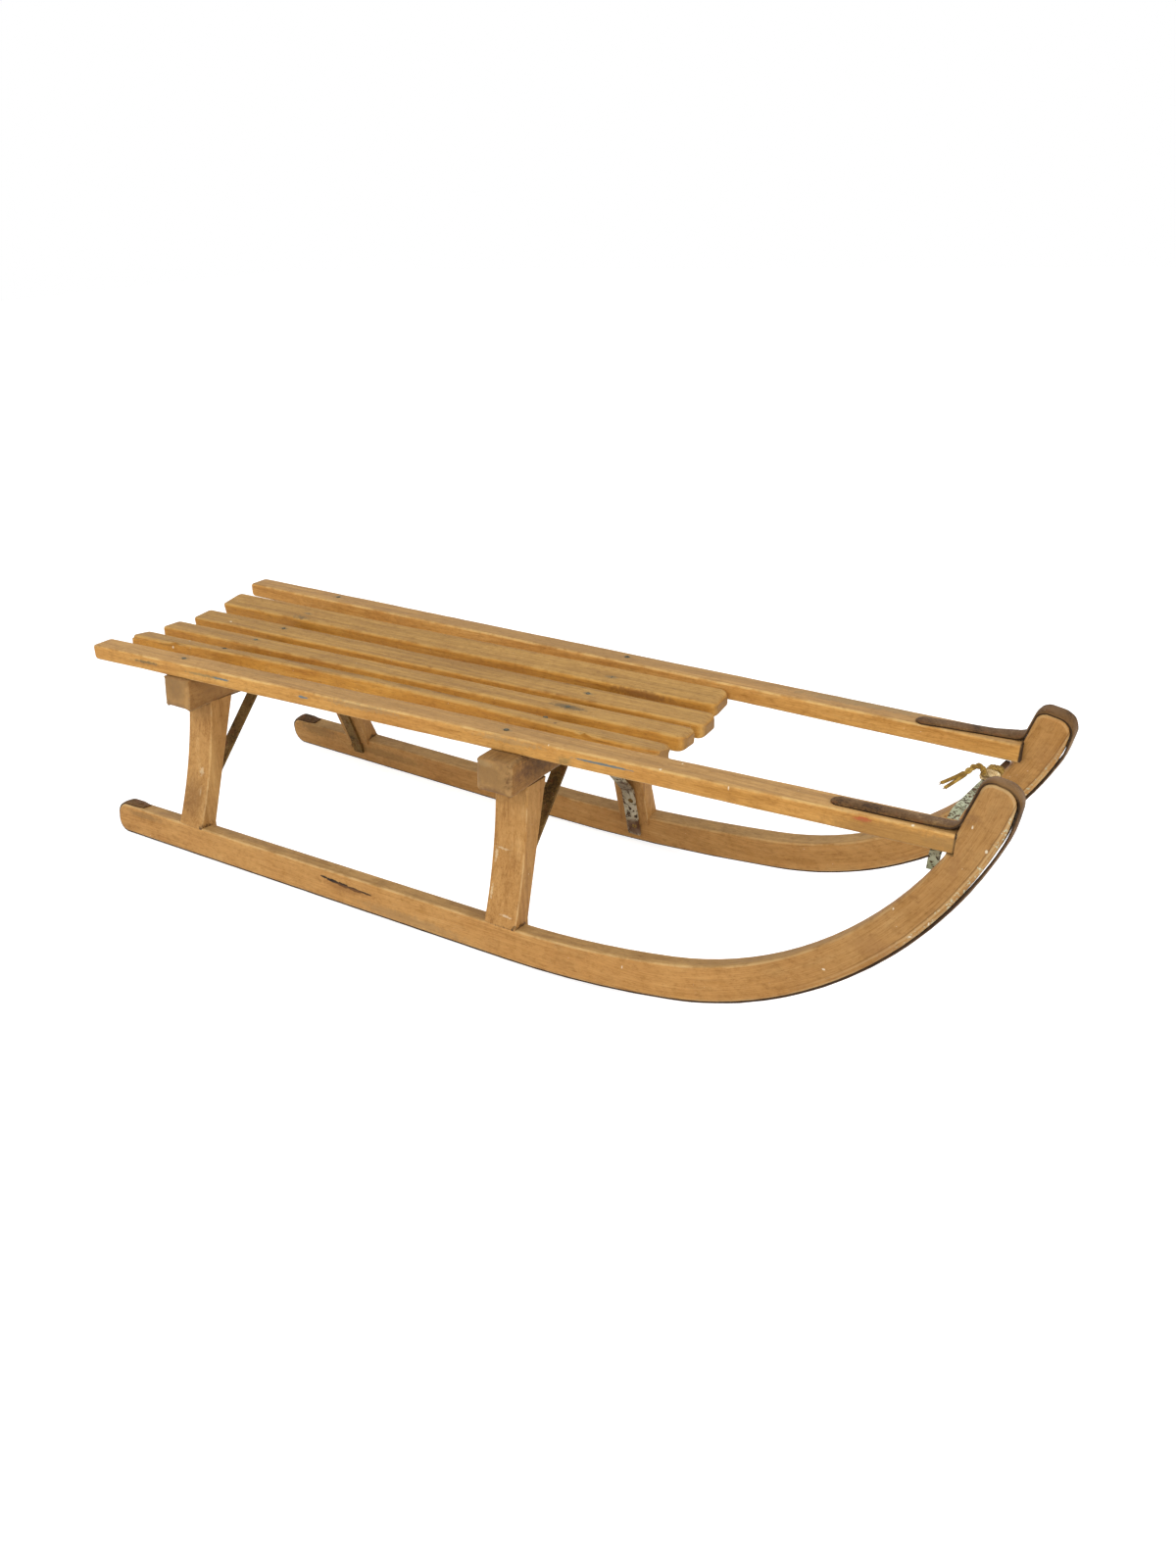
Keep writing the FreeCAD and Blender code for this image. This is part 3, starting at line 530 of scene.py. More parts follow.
def woodFinish(name, look, marks=(), side=None):
    made = Recipe(name)
    spots = made.node("ShaderNodeTexCoord").outputs
    place, facing = spots["Object"], spots["Normal"]
    grain, edgeNormal, endNormal, depth, turned = grainOf(made, look["grain"], place, facing, side)
    curled = look["grain"] == "curl"
    grain = made.vector("ADD", grain, (len(name) * 0.37, sum(map(ord, name)) * 0.011, 0.7))
    wander = made.noise(made.stretch(grain, (2, 9, 9)), 1, 2)
    bent = made.vector("ADD", grain, made.join(0, made.times(wander, 0.012), made.times(wander, 0.008)))
    streaks, broad, fibres, flecks = [
        made.noise(made.stretch(bent, (along, across, across)), 1, *rest)
        for along, across, *rest in woodPatterns.values()
    ]
    cloud, patch, crumbs, ragged = [made.noise(place, *row) for row in stainPatterns.values()]
    grime = made.noise(made.stretch(place, (0.6, 1, 1)), 210, 4, 0.75)

    tone = made.weigh(*zip((streaks, broad, patch), toneShares["curl" if curled else "straight"]))
    made.base(look, (tone, 0.36, 0.52), (tone, 0.5, 0.68))
    made.tint(made.ramp(cloud, 0.35, 0.7, 0, 0.45), woodTints["warm"])

    # Greyed and worn where hands, boots and weather reach it; downward faces darkened with painted shade
    up = made.parts(facing)[2]
    broken = made.ramp(made.weigh((streaks, 1), (patch, 0.7)), 0.55, 1, 0.72, 1)
    topShare = made.times(made.ramp(up, 0.55, 0.9), look["topShare"], broken)
    topColour = made.blend(made.ramp(tone, 0.38, 0.64), paint(look["top"], 0.86), paint(look["top"], 1.1))
    made.colour = made.blend(topShare, made.colour, topColour)
    # Painted shade: faces that turn downwards are darkened
    made.cover(made.ramp(up, -0.5, -0.9, 0, look["under"]), woodPaints["under"])
    dirt = made.ramp(made.weigh((patch, 0.6), (cloud, 0.4)), 0.52, 0.78, 0, look["dirt"])
    for share, shade in (
        (dirt, "dirt"),
        (made.ramp(grime, 0.46, 0.72, 0, 0.5), "grime"),
        (made.ramp(grime, 0.44, 0.26, 0, 0.3), "bleached"),
        (made.ramp(flecks, 0.58, 0.72, 0, 0.42), "fleck"),
        (made.ramp(fibres, 0.3, 0.66, 0.42, 0), "fibre"),
    ):
        made.tint(share, woodTints[shade])

    # Edges rubbed pale, ends dark with dirt
    size = made.calc("ABSOLUTE", edgeNormal)
    flat = made.calc("SQRT", made.calc("SUBTRACT", 1, made.times(size, size), clamp=True))
    rim = made.ramp(made.times(size, flat, 2), 0.5, 0.95)
    made.cover(made.times(rim, look["edgeShare"], made.ramp(patch, 0.36, 0.6)), look["edge"])
    layers = []
    if curled:
        rimmed = made.plus(depth, made.times(made.plus(patch, -0.5), 0.002))
        # Darker round the curl and up the horn: fully on the right runner, less on the left
        made.tint(made.ramp(turned, 0.15, 0.9, 0, look["curlDarkened"][side]), woodTints["curlDarkened"])
        risen, high = made.ramp(turned, 0.45, 0.95), made.ramp(turned, 0.75, 1)
        layers += [
            ("bevel", 0.4, made.ramp(rimmed, 0.0026, 0.002), made.ramp(rimmed, 0.0006, 0.0012), risen),
            ("groove", 0.6, made.ramp(rimmed, 0.0038, 0.0033), made.ramp(rimmed, 0.0026, 0.0031), risen),
            ("flake", 0.8, made.ramp(depth, 0.003, 0.0022), made.ramp(crumbs, 0.58, 0.62), high),
        ]
    else:
        endColour = made.blend(made.ramp(patch, 0.4, 0.65), paint(look["end"], 0.8), paint(look["end"]))
        ends = made.ramp(made.calc("ABSOLUTE", endNormal), 0.6, 0.95, 0, 0.72)
        made.colour = made.blend(ends, made.colour, endColour)

    # Pale crumbs of paint and dark pits, few and small
    pitted = made.ramp(crumbs, 0.3, 0.26)
    layers += [
        ("crumb", 0.75, made.ramp(crumbs, 0.71, 0.745), made.ramp(patch, 0.5, 0.6)),
        ("pit", 0.6, pitted, made.ramp(cloud, 0.52, 0.6)),
    ]
    for shade, share, *bounds in layers:
        made.cover(made.times(*bounds, share), woodPaints[shade])

    jitter = made.times(made.plus(ragged, -0.5), 1.7)
    for row in marks:
        made.mark(place, jitter, *row)
    shine = made.ramp(made.weigh((streaks, 1), (patch, 0.5)), 0.5, 1, 0.56, 0.72)
    height = made.weigh((fibres, 0.5), (streaks, 0.6), (pitted, -0.5))
    return made.finish(shine, height, 0.00035, {"Specular IOR Level": 0.22})


# Marks: spot, radii, colour, share, raggedness, softness, turn
nailSpots = {
    "rails": [(-345.5, -121.4, 221.4), (-344.7, 119.1, 221.4), (54.8, -108.6, 221.4), (56.4, 103.1, 221.4)],
    "slats": [
        (-351.3, -60.3, 212.2), (-348.6, -16, 209.1), (-346.7, 26.7, 209.8), (-348.1, 69.6, 214),
        (54.6, -45.4, 210.3), (55.9, -8.4, 207.5), (56.7, 26.8, 208.7), (61, 62.7, 214),
    ],
}
paleSpots = {
    "rails": [
        (104.1, -116.9, 221.1), (208.7, -112.6, 221.1), (219.4, -94.2, 221.4), (268.5, -111.6, 218.8),
        (410.2, -104.8, 221),
    ],
    "slats": [(-414.5, -78.2, 208.8), (-421.7, 16.2, 209.2), (-405, -62, 212)],
    "runner": [
        (188.1, -136, 34.8), (361.9, -124.3, 89.1), (406.5, -114.5, 154.2), (433, -114.1, 149),
        (421.7, -116.5, 135.4), (462.8, -105.2, 214.4), (450.8, -103.4, 229.9),
    ],
}


def nailMarks(rows):
    return [(spot, (9, 3.2, 4), (92, 92, 74), 0.5, 0.9, 0.25) for spot in rows]


def paleMarks(rows, radii=(1.3, 1.6, 1.6)):
    made = []
    for number, spot in enumerate(rows):
        long, tall = (0.6, 1.2, 0.8)[number % 3], (1.3, 0.6, 0.9)[number % 3]
        made.append((spot, (radii[0] * long, radii[1], radii[2] * tall), (230, 220, 194), 0.68, 1.3))
    return made


railEnds = [max(vert.co.x for vert in nodes["side_rail_" + side].data.vertices) / mm for side in sides]
railMarks = nailMarks(nailSpots["rails"]) + [
    ((railEnds[0] - 1, -100, 208), (1.7, 60, 60), (34, 22, 12), 0.95, 0.25),  # joint lines: painted shade of a gap where rail end meets horn
    ((railEnds[1] - 1.2, 100, 208), (1.9, 60, 60), (34, 22, 12), 0.95, 0.25),
    ((-280, -133.4, 214.5), (15, 2.5, 1.3), (40, 108, 136), 0.85, 0.9),  # blue scratches
    ((-300, -134, 214.5), (46, 2.5, 2), (104, 108, 80), 0.5, 1.3),
    ((-388, -137.5, 214.6), (26, 3, 2), (84, 80, 58), 0.7, 1.3),
    ((-171, -129, 214.8), (9, 2.5, 1.6), (40, 104, 124), 0.8, 0.9),
    ((156, -116, 214.8), (40, 2.5, 1.3), (86, 108, 112), 0.9, 0.6, 0.6),
    ((120, -117, 210), (9, 2.5, 5), (96, 92, 60), 0.5, 1.2),
    ((-90, -128, 218), (70, 6, 5), (138, 122, 90), 0.45, 1.1),
    ((60, -118, 217), (50, 6, 4), (150, 132, 98), 0.4, 1.1),
    ((374, -107.5, 217.5), (9, 2, 2.4), (176, 60, 40), 0.7, 1.4),  # red fleck
    ((434, -103, 214), (26, 6, 7), (150, 120, 76), 0.45, 0.8),
    ((300, 98, 221), (90, 9, 3), (118, 106, 80), 0.5, 0.9),
    ((60, 106, 222), (460, 16, 5), (138, 106, 62), 0.34, 0.8),
    ((60, -112, 222), (460, 16, 4), (148, 114, 68), 0.22, 0.8),
    ((396, -106, 210), (84, 5, 12), (140, 104, 56), 0.6, 0.6),
] + paleMarks(paleSpots["rails"])
slatMarks = nailMarks(nailSpots["slats"]) + paleMarks(paleSpots["slats"], (2.2, 1.6, 1.4)) + [
    ((55.9, -8.4, 207.5), (26, 7, 4), (84, 74, 54), 0.75, 0.8),
    ((71.1, -55, 210), (3, 3, 3), (80, 56, 34), 0.8, 0.5),
    ((100, 50, 208), (46, 5, 7), (112, 72, 34), 0.6, 1),
    ((-350, 60, 212), (14, 5, 3), (70, 66, 52), 0.55, 1.3),
    ((30, -70, 205), (70, 5, 7), (128, 92, 46), 0.5, 0.8),
]
crackPath = [(-153, 27.8, 6, 1.4), (-141, 26.5, 10, 2.2), (-128, 25.3, 10, 2.6),
             (-114, 24.4, 11, 2.2), (-100, 24.5, 10, 1.3)]  # x, z, half length, half height
runnerMarks = {
    "right": [
        ((x, -146, z), (along, 3, tall), (36, 24, 14), 1, 0.7, 0.7, (0, 0.06, 0))
        for x, z, along, tall in crackPath
    ] + [
        ((-126, -146, 22), (44, 3, 5), (128, 84, 40), 0.55, 0.8),
        ((-30, -146, 12), (110, 4, 8), (146, 116, 76), 0.5, 0.9),
        ((440, -104, 236), (20, 4, 8), (128, 92, 56), 0.5, 0.7),
        ((444, -107, 196), (5, 4, 20), (142, 100, 56), 0.5, 0.8),
        ((400, -118, 118), (30, 6, 12), (146, 104, 60), 0.4, 0.8),
        ((-420, -152, 30), (36, 6, 5), (120, 92, 54), 0.5, 1),
    ] + paleMarks(paleSpots["runner"]),
    "left": [
        ((60, 134, 14), (120, 8, 6), (122, 86, 44), 0.55, 0.9),
        ((90, 133, 20), (20, 8, 3), (96, 84, 58), 0.6, 1.2),
        ((460, 76, 205), (24, 8, 30), (152, 108, 62), 0.45, 0.7),
        ((-420, 132, 28), (44, 8, 12), (116, 90, 52), 0.5, 1),
        ((-300, 130, 20), (80, 8, 8), (120, 88, 46), 0.5, 0.9),
    ],
}
postMarks = []
for side in sides:  # painted contact shadow round the posts' feet, on the runners' tops there, and below the beams at the posts' heads
    for along in (0, sled["beamSpacing"]):
        ground = tuple(sideSpot(side, along, sled["runnerDeep"] + 0.6))
        runnerMarks[side].append((ground, (21, 13.5, 1.6), (52, 36, 20), 0.85, 0.9, 0.5))
        foot = sideSpot(side, along, sled["runnerDeep"])
        head = (foot.x, sled["middle"] + sides[side]["sign"] * 124, 168)
        postMarks += [
            ((foot.x + 16, foot.y, foot.z), (4, 14, 5.5), (58, 42, 24), 0.8, 1.5, 0.5),
            (tuple(foot), (20, 14, 2.2), (66, 48, 28), 0.6, 1.2),
            (head, (22, 30, 3), (84, 60, 32), 0.6, 0.8),
        ]
postMarks += [
    ((47, -120, 99), (1.8, 3, 13), (222, 200, 160), 0.5, 2),
    ((53, -119, 107), (9, 3, 1.4), (222, 200, 160), 0.4, 2),
    ((46, -129.5, 64), (1.5, 3, 10), (222, 200, 160), 0.5, 2),
    ((64, -135.3, 46), (7, 3, 1.4), (220, 204, 174), 0.5, 1.6),
    ((-340.9, -127, 94), (4, 3, 6), (222, 200, 160), 0.5, 2),
    ((-338.8, -134, 72), (1.2, 3, 9), (222, 200, 160), 0.5, 1.8),
    ((-349, -141, 104), (34, 17, 104), (112, 74, 34), 0.9, 0.4, 0.1),
    ((-328, -120, 110), (5, 12, 90), (204, 160, 98), 0.4, 0.6),
]
beamMarks = [
    ((59.5, -139, 176), (16, 8, 6), (118, 84, 48), 0.6, 0.9),
    ((50, -139, 200), (12, 8, 4), (150, 124, 84), 0.5, 0.9),
    # Painted shadow: dark brown on the front beam's forward face, beneath the seat
    ((76, -120, 190), (6, 26, 12), (104, 68, 38), 0.65, 0.9),
    ((76, -96, 202), (6, 60, 4), (70, 48, 28), 0.6, 0.7),
    ((76, -70, 190), (6, 90, 22), (70, 46, 22), 0.8, 0.5),
    ((-329, -96, 190), (6, 60, 22), (184, 138, 82), 0.42, 0.7),
]
finishes = {
    "rails": woodFinish("rubbedRailWood", woodLooks["rails"], railMarks),
    "slats": woodFinish("greyedSlatWood", woodLooks["slats"], slatMarks),
    "posts": woodFinish("postWood", woodLooks["posts"], postMarks),
    "beams": woodFinish("beamWood", woodLooks["beams"], beamMarks),
    "runner_right": woodFinish("bentRunnerWoodRight", woodLooks["runners"], runnerMarks["right"], "right"),
    "runner_left": woodFinish("bentRunnerWoodLeft", woodLooks["runners"], runnerMarks["left"], "left"),
}
print("wood finishes made")


# Iron: brown skin with rust and rubbed spots; on two parts pale paint that flakes
ironLooks = {
    "band": {
        "deep": (58, 38, 18), "middle": (102, 72, 36), "pale": (146, 112, 64), "rust": (112, 70, 34),
        "metal": 0.06, "rough": (0.5, 0.7), "rimShade": 0.75,
    },
    "brace": {
        "deep": (64, 46, 20), "middle": (122, 94, 46), "pale": (168, 138, 80), "rust": (112, 68, 32),
        "metal": 0.06, "rough": (0.6, 0.8),
    },
    "scabbed": {
        "deep": (44, 34, 24), "middle": (84, 66, 46), "pale": (120, 102, 78), "rust": (100, 58, 30),
        "metal": 0, "rough": (0.6, 0.8),
    },
    "nail": {
        "deep": (50, 48, 40), "middle": (92, 90, 74), "pale": (140, 136, 114), "rust": (86, 64, 42),
        "metal": 0.4, "rough": (0.5, 0.7),
    },
}
paintLooks = {
    "bar": {"scale": 210, "paint": (186, 188, 160), "shade": (150, 154, 124), "stain": (104, 92, 60)},
    "brace": {"scale": 120, "paint": (188, 178, 152), "shade": (146, 132, 104), "stain": (104, 80, 50)},
}
ironTints = {"pores": (0.4, 0.32, 0.25), "crumb": (206, 192, 166), "rim": (30, 20, 12)}
paintLost = 0.46  # share of the paint that has flaked off


def ironFinish(name, look, marks=(), flaking=None):
    made = Recipe(name)
    spots = made.node("ShaderNodeTexCoord").outputs
    place = spots["Object"]
    cloud = made.noise(place, 42, 4, 0.6, 0.3)
    grit = made.noise(place, 520, 4, 0.7)
    fine = made.noise(place, 1900, 2, 0.6)
    tone = made.weigh((cloud, 0.55), (grit, 0.45))
    made.base(look, (tone, 0.38, 0.52), (tone, 0.54, 0.7))
    made.cover(made.ramp(made.noise(place, 95, 5, 0.7), 0.52, 0.66, 0, 0.7), look["rust"])
    made.tint(made.ramp(fine, 0.3, 0.7, 0.3, 0), ironTints["pores"])
    made.cover(made.ramp(made.noise(place, 640, 2, 0.6), 0.72, 0.76, 0, 0.7), ironTints["crumb"])
    rough = made.ramp(tone, 0.4, 0.65, look["rough"][1], look["rough"][0])
    height = made.weigh((grit, 0.8), (fine, 0.2))
    if flaking:
        chips = made.noise(place, flaking["scale"], 5, 0.72, 0.8)
        skin = made.ramp(chips, paintLost, paintLost + 0.02)
        coat = made.blend(made.ramp(cloud, 0.35, 0.65), paint(flaking["paint"]), paint(flaking["shade"]))
        coat = made.blend(made.ramp(grit, 0.56, 0.7, 0, 0.6), coat, paint(flaking["stain"]))
        made.colour = made.blend(skin, made.colour, coat)
        rough = made.plus(made.times(skin, -0.13), 0.75)
        height = made.weigh((height, 0.3), (skin, 1))
    # Painted shade: the band's side faces darkened almost to black
    if "rimShade" in look:
        aside = made.calc("ABSOLUTE", made.parts(spots["Normal"])[1])
        made.cover(made.ramp(aside, 0.66, 0.92, 0, look["rimShade"]), ironTints["rim"])
    jitter = made.plus(grit, -0.5)
    for row in marks:
        made.mark(place, jitter, *row, 1.2, 0.5)
    return made.finish(rough, height, 0.0003, {"Metallic": look["metal"], "Specular IOR Level": 0.18})


finishes["band"] = ironFinish("brownedBandIron", ironLooks["band"], [
    # Painted highlight: paler crowns of the bands at the horn tops
    ((468, -90, 260), (20, 13, 14), (150, 114, 70), 0.32),
    ((470, 84, 262), (26, 8, 12), (150, 118, 80), 0.4),
])
finishes["brace"] = ironFinish("rustyBraceIron", ironLooks["brace"])
finishes["nail"] = ironFinish("dullNailIron", ironLooks["nail"])
finishes["barPaint"] = ironFinish("flakingBarPaint", ironLooks["scabbed"], [
    # Painted shade: the bar's far end, by the far horn, darkened
    ((425, 80, 206), (40, 36, 40), (70, 48, 28), 1),
    ((421, -80, 188), (6, 8, 5), (40, 34, 22), 0.9),
], paintLooks["bar"])
finishes["bracePaint"] = ironFinish("flakingBracePaint", ironLooks["scabbed"], [
    ((62, 114, 25), (14, 14, 14), (92, 58, 34), 0.85),
    ((60, 96, 84), (14, 16, 16), (96, 74, 48), 0.7),
], paintLooks["brace"])
print("iron finishes made")


# Slats, rails and crossbeams: the frame's bars with worn ends and hand-planed faces, in metres
wornSizes = {
    "step": 0.014, "wave": 0.00035, "endCuts": (20, 40, 58, 75, 90), "frontOver": 0.06, "rearOver": 0.03,
}
barUsual = {"front": 0, "wider": 0, "lower": 0, "move": (0, 0, 0)}
barWear = {  # plan and rise: how far an end is rounded off; front and rear: how far it is longer
    "seat_slat_1": {"plan": 0.0075, "rise": 0.0042, "round": 0.0036, "front": 0.0110, "rear": 0.0034},
    "seat_slat_2": {"plan": 0.0078, "rise": 0.0046, "round": 0.0036, "front": 0.0088, "rear": 0.0034},
    "seat_slat_3": {"plan": 0.0072, "rise": 0.0042, "round": 0.0034, "front": 0.0085, "rear": 0.0038},
    "seat_slat_4": {
        "plan": 0.0082, "rise": 0.0048, "round": 0.0038, "front": 0.0078, "rear": 0.0048,
        "move": (0, 0.0018, 0.0008),
    },
    "side_rail_right": {"plan": 0.0066, "rise": 0.0046, "round": 0.0030, "rear": 0.0038},
    "side_rail_left": {"plan": 0.0078, "rise": 0.0056, "round": 0.0032, "rear": 0.0040},
    "crossbeam_rear": {
        "plan": 0.0056, "rise": 0.0048, "round": 0.0042, "rear": 0.0025, "wider": 0.0014, "lower": 0.0022,
    },
    "crossbeam_front": {
        "plan": 0.0068, "rise": 0.0060, "round": 0.0052, "rear": 0.0025, "wider": 0.0020, "lower": 0.0006,
        "move": (0.0008, 0, 0),
    },
}


def slatUp(y):
    return Vector((0, -(y - sled["middle"]) * 0.00235, 1)).normalized()


# lengthwise is the number of the axis that the bar runs along
def wornBar(node, finish, lengthwise=0):
    wear = {**barUsual, **barWear[node]}
    shape = copyOf(node)
    axis = Vector([float(number == lengthwise) for number in range(3)])
    low = min(vert.co[lengthwise] for vert in shape.verts)
    high = max(vert.co[lengthwise] for vert in shape.verts)
    bothEnds = not node.startswith("side")
    deep = wear["plan"]
    count = int((high - low) / wornSizes["step"])
    reaches = [deep * (1 - math.cos(math.radians(angle))) for angle in wornSizes["endCuts"]]
    stations = [low + (high - low) * number / count for number in range(1, count)]
    stations += [low + reach for reach in reaches] + [high - reach for reach in reaches if bothEnds]
    for station in sorted(stations):
        cutAcross(shape, axis * station, axis)

    up = Vector((0, 0, 1))
    if node.startswith("seat"):
        up = slatUp(sum(vert.co.y for vert in shape.verts) / len(shape.verts) / mm)
    flat = Vector((1, 0, 0)) if lengthwise else up.cross(axis).normalized()

    def section(station):
        row = [vert.co for vert in shape.verts if abs(vert.co[lengthwise] - station) < 2e-5]
        wide, tall = [co.dot(flat) for co in row], [co.dot(up) for co in row]
        return ((min(wide) + max(wide)) / 2, (min(tall) + max(tall)) / 2,
                (max(wide) - min(wide)) / 2, (max(tall) - min(tall)) / 2)

    first, last = stations[1], stations[count - 3]
    start, end = section(first), section(last)
    radius = wear["round"]
    for part, direction in ((0, flat), (1, up)):
        slope = (end[part] - start[part]) / (last - first)
        normal = (direction - axis * slope).normalized()
        for sign in (-1, 1):
            for inset in (radius, radius * (1 - math.tan(math.radians(22.5)))):
                place = axis * first + direction * (start[part] + sign * (start[part + 2] - inset))
                cutAcross(shape, place, normal)

    for vert in shape.verts:
        station = vert.co[lengthwise]
        share = (station - first) / (last - first)
        middleWide, middleTall, wide, tall = [a + (b - a) * share for a, b in zip(start, end)]
        across, rise = vert.co.dot(flat) - middleWide, vert.co.dot(up) - middleTall
        overWide, overTall = abs(across) - (wide - radius), abs(rise) - (tall - radius)
        if overWide > 1e-7 and overTall > 1e-7:
            length = math.hypot(overWide, overTall)
            across = math.copysign(wide - radius + overWide * radius / length, across)
            rise = math.copysign(tall - radius + overTall * radius / length, rise)
        near = min(station - low, high - station if bothEnds else 1)
        gone = 1 - math.sqrt(max(0, 1 - max(0, 1 - max(0, near) / deep) ** 2))
        across *= (1 - gone * deep / wide) * (1 + wear["wider"] / wide)
        rise *= (1 - gone * wear["rise"] / tall) * (1 + wear["lower"] / tall if rise < 0 else 1)
        forward = min(1, max(0, (station - high) / wornSizes["frontOver"] + 1))
        back = min(1, max(0, (low - station) / wornSizes["rearOver"] + 1))
        station += wear["front"] * forward - wear["rear"] * back
        vert.co = axis * station + flat * (middleWide + across) + up * (middleTall + rise)

    for vert in shape.verts:
        wave = noise.noise_vector(vert.co * 17 + Vector((len(node), vert.co.y * 40, 3)))
        wave += noise.noise_vector(vert.co * 70) * 0.5
        vert.co += Vector((0, wave.y, wave.z)) * wornSizes["wave"] + Vector(wear["move"])
    name = node + "_worn"
    piece = addPiece(name, meshOf(name, shape), finish, 0)
    piece.modifiers.new("even", "WEIGHTED_NORMAL").keep_sharp = False
    evened = evaluated(piece)
    piece.modifiers.clear()
    piece.data = evened
    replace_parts(piece, node)


for number in (1, 2, 3, 4):
    wornBar(f"seat_slat_{number}", finishes["slats"])
for side in sides:
    wornBar("side_rail_" + side, finishes["rails"])
for which in ("rear", "front"):
    wornBar("crossbeam_" + which, finishes["beams"], 1)
print("slats, rails and crossbeams made")


# Runners and braces keep the frame's shape and get their finish; posts get worn edges
postSizes = {"wider": 1.05, "edge": 0.0011}


def dress(node, finish):
    for slot in nodes[node].material_slots:
        slot.material = finish


def wornPost(node, finish):
    shape = copyOf(node)
    places = [vert.co.x for vert in shape.verts]
    middle = (min(places) + max(places)) / 2
    for vert in shape.verts:
        vert.co.x = middle + (vert.co.x - middle) * postSizes["wider"]
    sharp = [edge for edge in shape.edges if edge.is_manifold and edge.calc_face_angle() > math.radians(60)]
    bmesh.ops.bevel(
        shape, geom=sharp, offset=postSizes["edge"], segments=2, profile=0.5, affect="EDGES", clamp_overlap=True)
    bmesh.ops.remove_doubles(shape, verts=shape.verts, dist=1e-6)
    name = node + "_worn"
    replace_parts(addPiece(name, meshOf(name, shape), finish, 28), node)


for side in sides:
    dress("runner_" + side, finishes["runner_" + side])
    for which in ("rear", "front"):
        wornPost(f"post_{which}_{side}", finishes["posts"])
        dress(f"brace_{which}_{side}", finishes["brace"])
dress("brace_front_left", finishes["bracePaint"])
print("posts made, runners and braces dressed")


# The pull bar: a strip that is slimmer towards the far horn
barLine = {"spot": (428.5, -2.35, 209), "skew": -2.9}
barSizes = {
    "slim": ((-96, 0.92), (-78, 0.92), (-60, 0.88), (0, 0.84), (40, 0.72), (52, 0.5), (86, 0.4)),
    "bend": 0.052, "reach": 0.082, "drop": 0.007, "aside": 0.0013, "rearHalf": 0.0045, "wave": 0.0002,
}


def makeBar():
    shape = copyOf("pull_bar", False)
    skew = Matrix.Rotation(math.radians(barLine["skew"]), 4, "Z")
    turn = Matrix.Translation(Vector(barLine["spot"]) * mm) @ skew
    shape.transform(turn.inverted())
    bend = barSizes["bend"]
    cutAcross(shape, (0, bend, 0), (0, 1, 0), clear_outer=True)
    for vert in shape.verts:
        if vert.co.y > bend - 1e-5:
            vert.co.y = barSizes["reach"]
            vert.co.z -= barSizes["drop"]
    bmesh.ops.holes_fill(shape, edges=[edge for edge in shape.edges if edge.is_boundary])
    for number in range(-9, 9):
        cutAcross(shape, (0, number * 0.01, 0), (0, 1, 0))
    for vert in shape.verts:
        along = vert.co.y / mm
        for (a, first), (b, last) in zip(barSizes["slim"], barSizes["slim"][1:]):
            if a <= along <= b + 1:
                held = barSizes["rearHalf"] * min(1, max(0, (45 - along) / 20))
                vert.co.x = (vert.co.x + held) * (first + (last - first) * (along - a) / (b - a)) - held
                break
        wave = noise.noise_vector(vert.co * 60)
        vert.co += Vector((wave.x, 0, wave.z)) * barSizes["wave"]
        vert.co.x -= barSizes["aside"] * min(1, max(0, (60 + along) / 30))
    shape.transform(turn)
    mesh = meshOf("pull_bar_strip", shape)
    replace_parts(addPiece("pull_bar_strip", mesh, finishes["barPaint"]), "pull_bar")


makeBar()
print("pull bar made")


# Half-round iron bands: over the runner's rear end, along the sole, round the horn, on to the rail
def bandStations(side):
    sign = sides[side]["sign"]
    whole = sideFrame(side).to_3x3()
    lateral = whole @ Vector((0, 1, 0))
    rows = []
    for far, near in zip(bandLine(side, 0)[:-1], bandLine(side, bandSizes["thick"])):
        out = whole @ Vector((far.x - near.x, 0, far.y - near.y))
        rows.append([sideSpot(side, near.x, near.y), out.normalized(), lateral, bandSizes["wide"] / 2, 1])
    for part, share in zip((3, 4), bandSizes["foldEnd"]):
        rows[0][part] *= share

    hornY = sides[side]["halfTrack"] - railFront * math.tan(math.radians(sides[side]["toe"]))
    hornY -= sled["seatHeight"] * math.tan(lean) + sled["runnerWide"] / 2
    corner = Vector((sled["rearBeam"] + railFront, sled["middle"] + sign * hornY, sled["seatHeight"]))
    turn = Matrix.Rotation(math.radians(sides[side]["skew"]) + sign * railYaw, 3, "Z")
    lengthwise, flat, up = turn.transposed()
    half = bandSizes["stripWide"][side] / 2
    corner += flat * (bandSizes["stripBack"] - half)
    start, reach, steps = bandSizes["stripStart"], bandSizes["onRail"][side] - half, 9
    for number in range(steps):
        along = start + (reach - start) * number / (steps - 1)
        rows.append([corner - lengthwise * along, up, flat, half, 1])
    for number in range(1, 7):
        angle = math.radians(15 * number - 3 * (number == 6))
        spot = corner - lengthwise * (reach + half * math.sin(angle))
        rows.append([spot, up, flat, half * math.cos(angle), 0.35 + 0.65 * math.cos(angle)])
    return rows


def makeBand(side):
    edge, crown, dent = [bandSizes[key] for key in ("edge", "crown", "dent")]
    places = [math.cos(math.pi * step / (bandSizes["across"] - 1)) for step in range(bandSizes["across"])]
    rings = []
    for spot, out, lateral, half, share in bandStations(side):
        wobble = noise.noise(spot * 0.045 + Vector((7, 1, 3))) * dent * 0.6
        ring = []
        for place in places:
            tall = edge + (crown - edge) * math.sqrt(max(0, 1 - place * place))
            chip = noise.noise(spot * 0.21 + Vector((place * 3, 5, 1))) * dent
            ring.append(spot + lateral * place * half + out * (tall * share + wobble + chip))
        ring += [spot + lateral * place * (half - 0.15) + out * 0.02 for place in (-1, 1)]
        rings.append([point * mm for point in ring])
    name = "runner_band_iron_" + side
    mesh = meshOf(name, loft(bmesh.new(), rings))
    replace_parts(addPiece(name, mesh, finishes["band"], 50), "runner_band_" + side)


for side in sides:
    makeBand(side)
print("bands made")


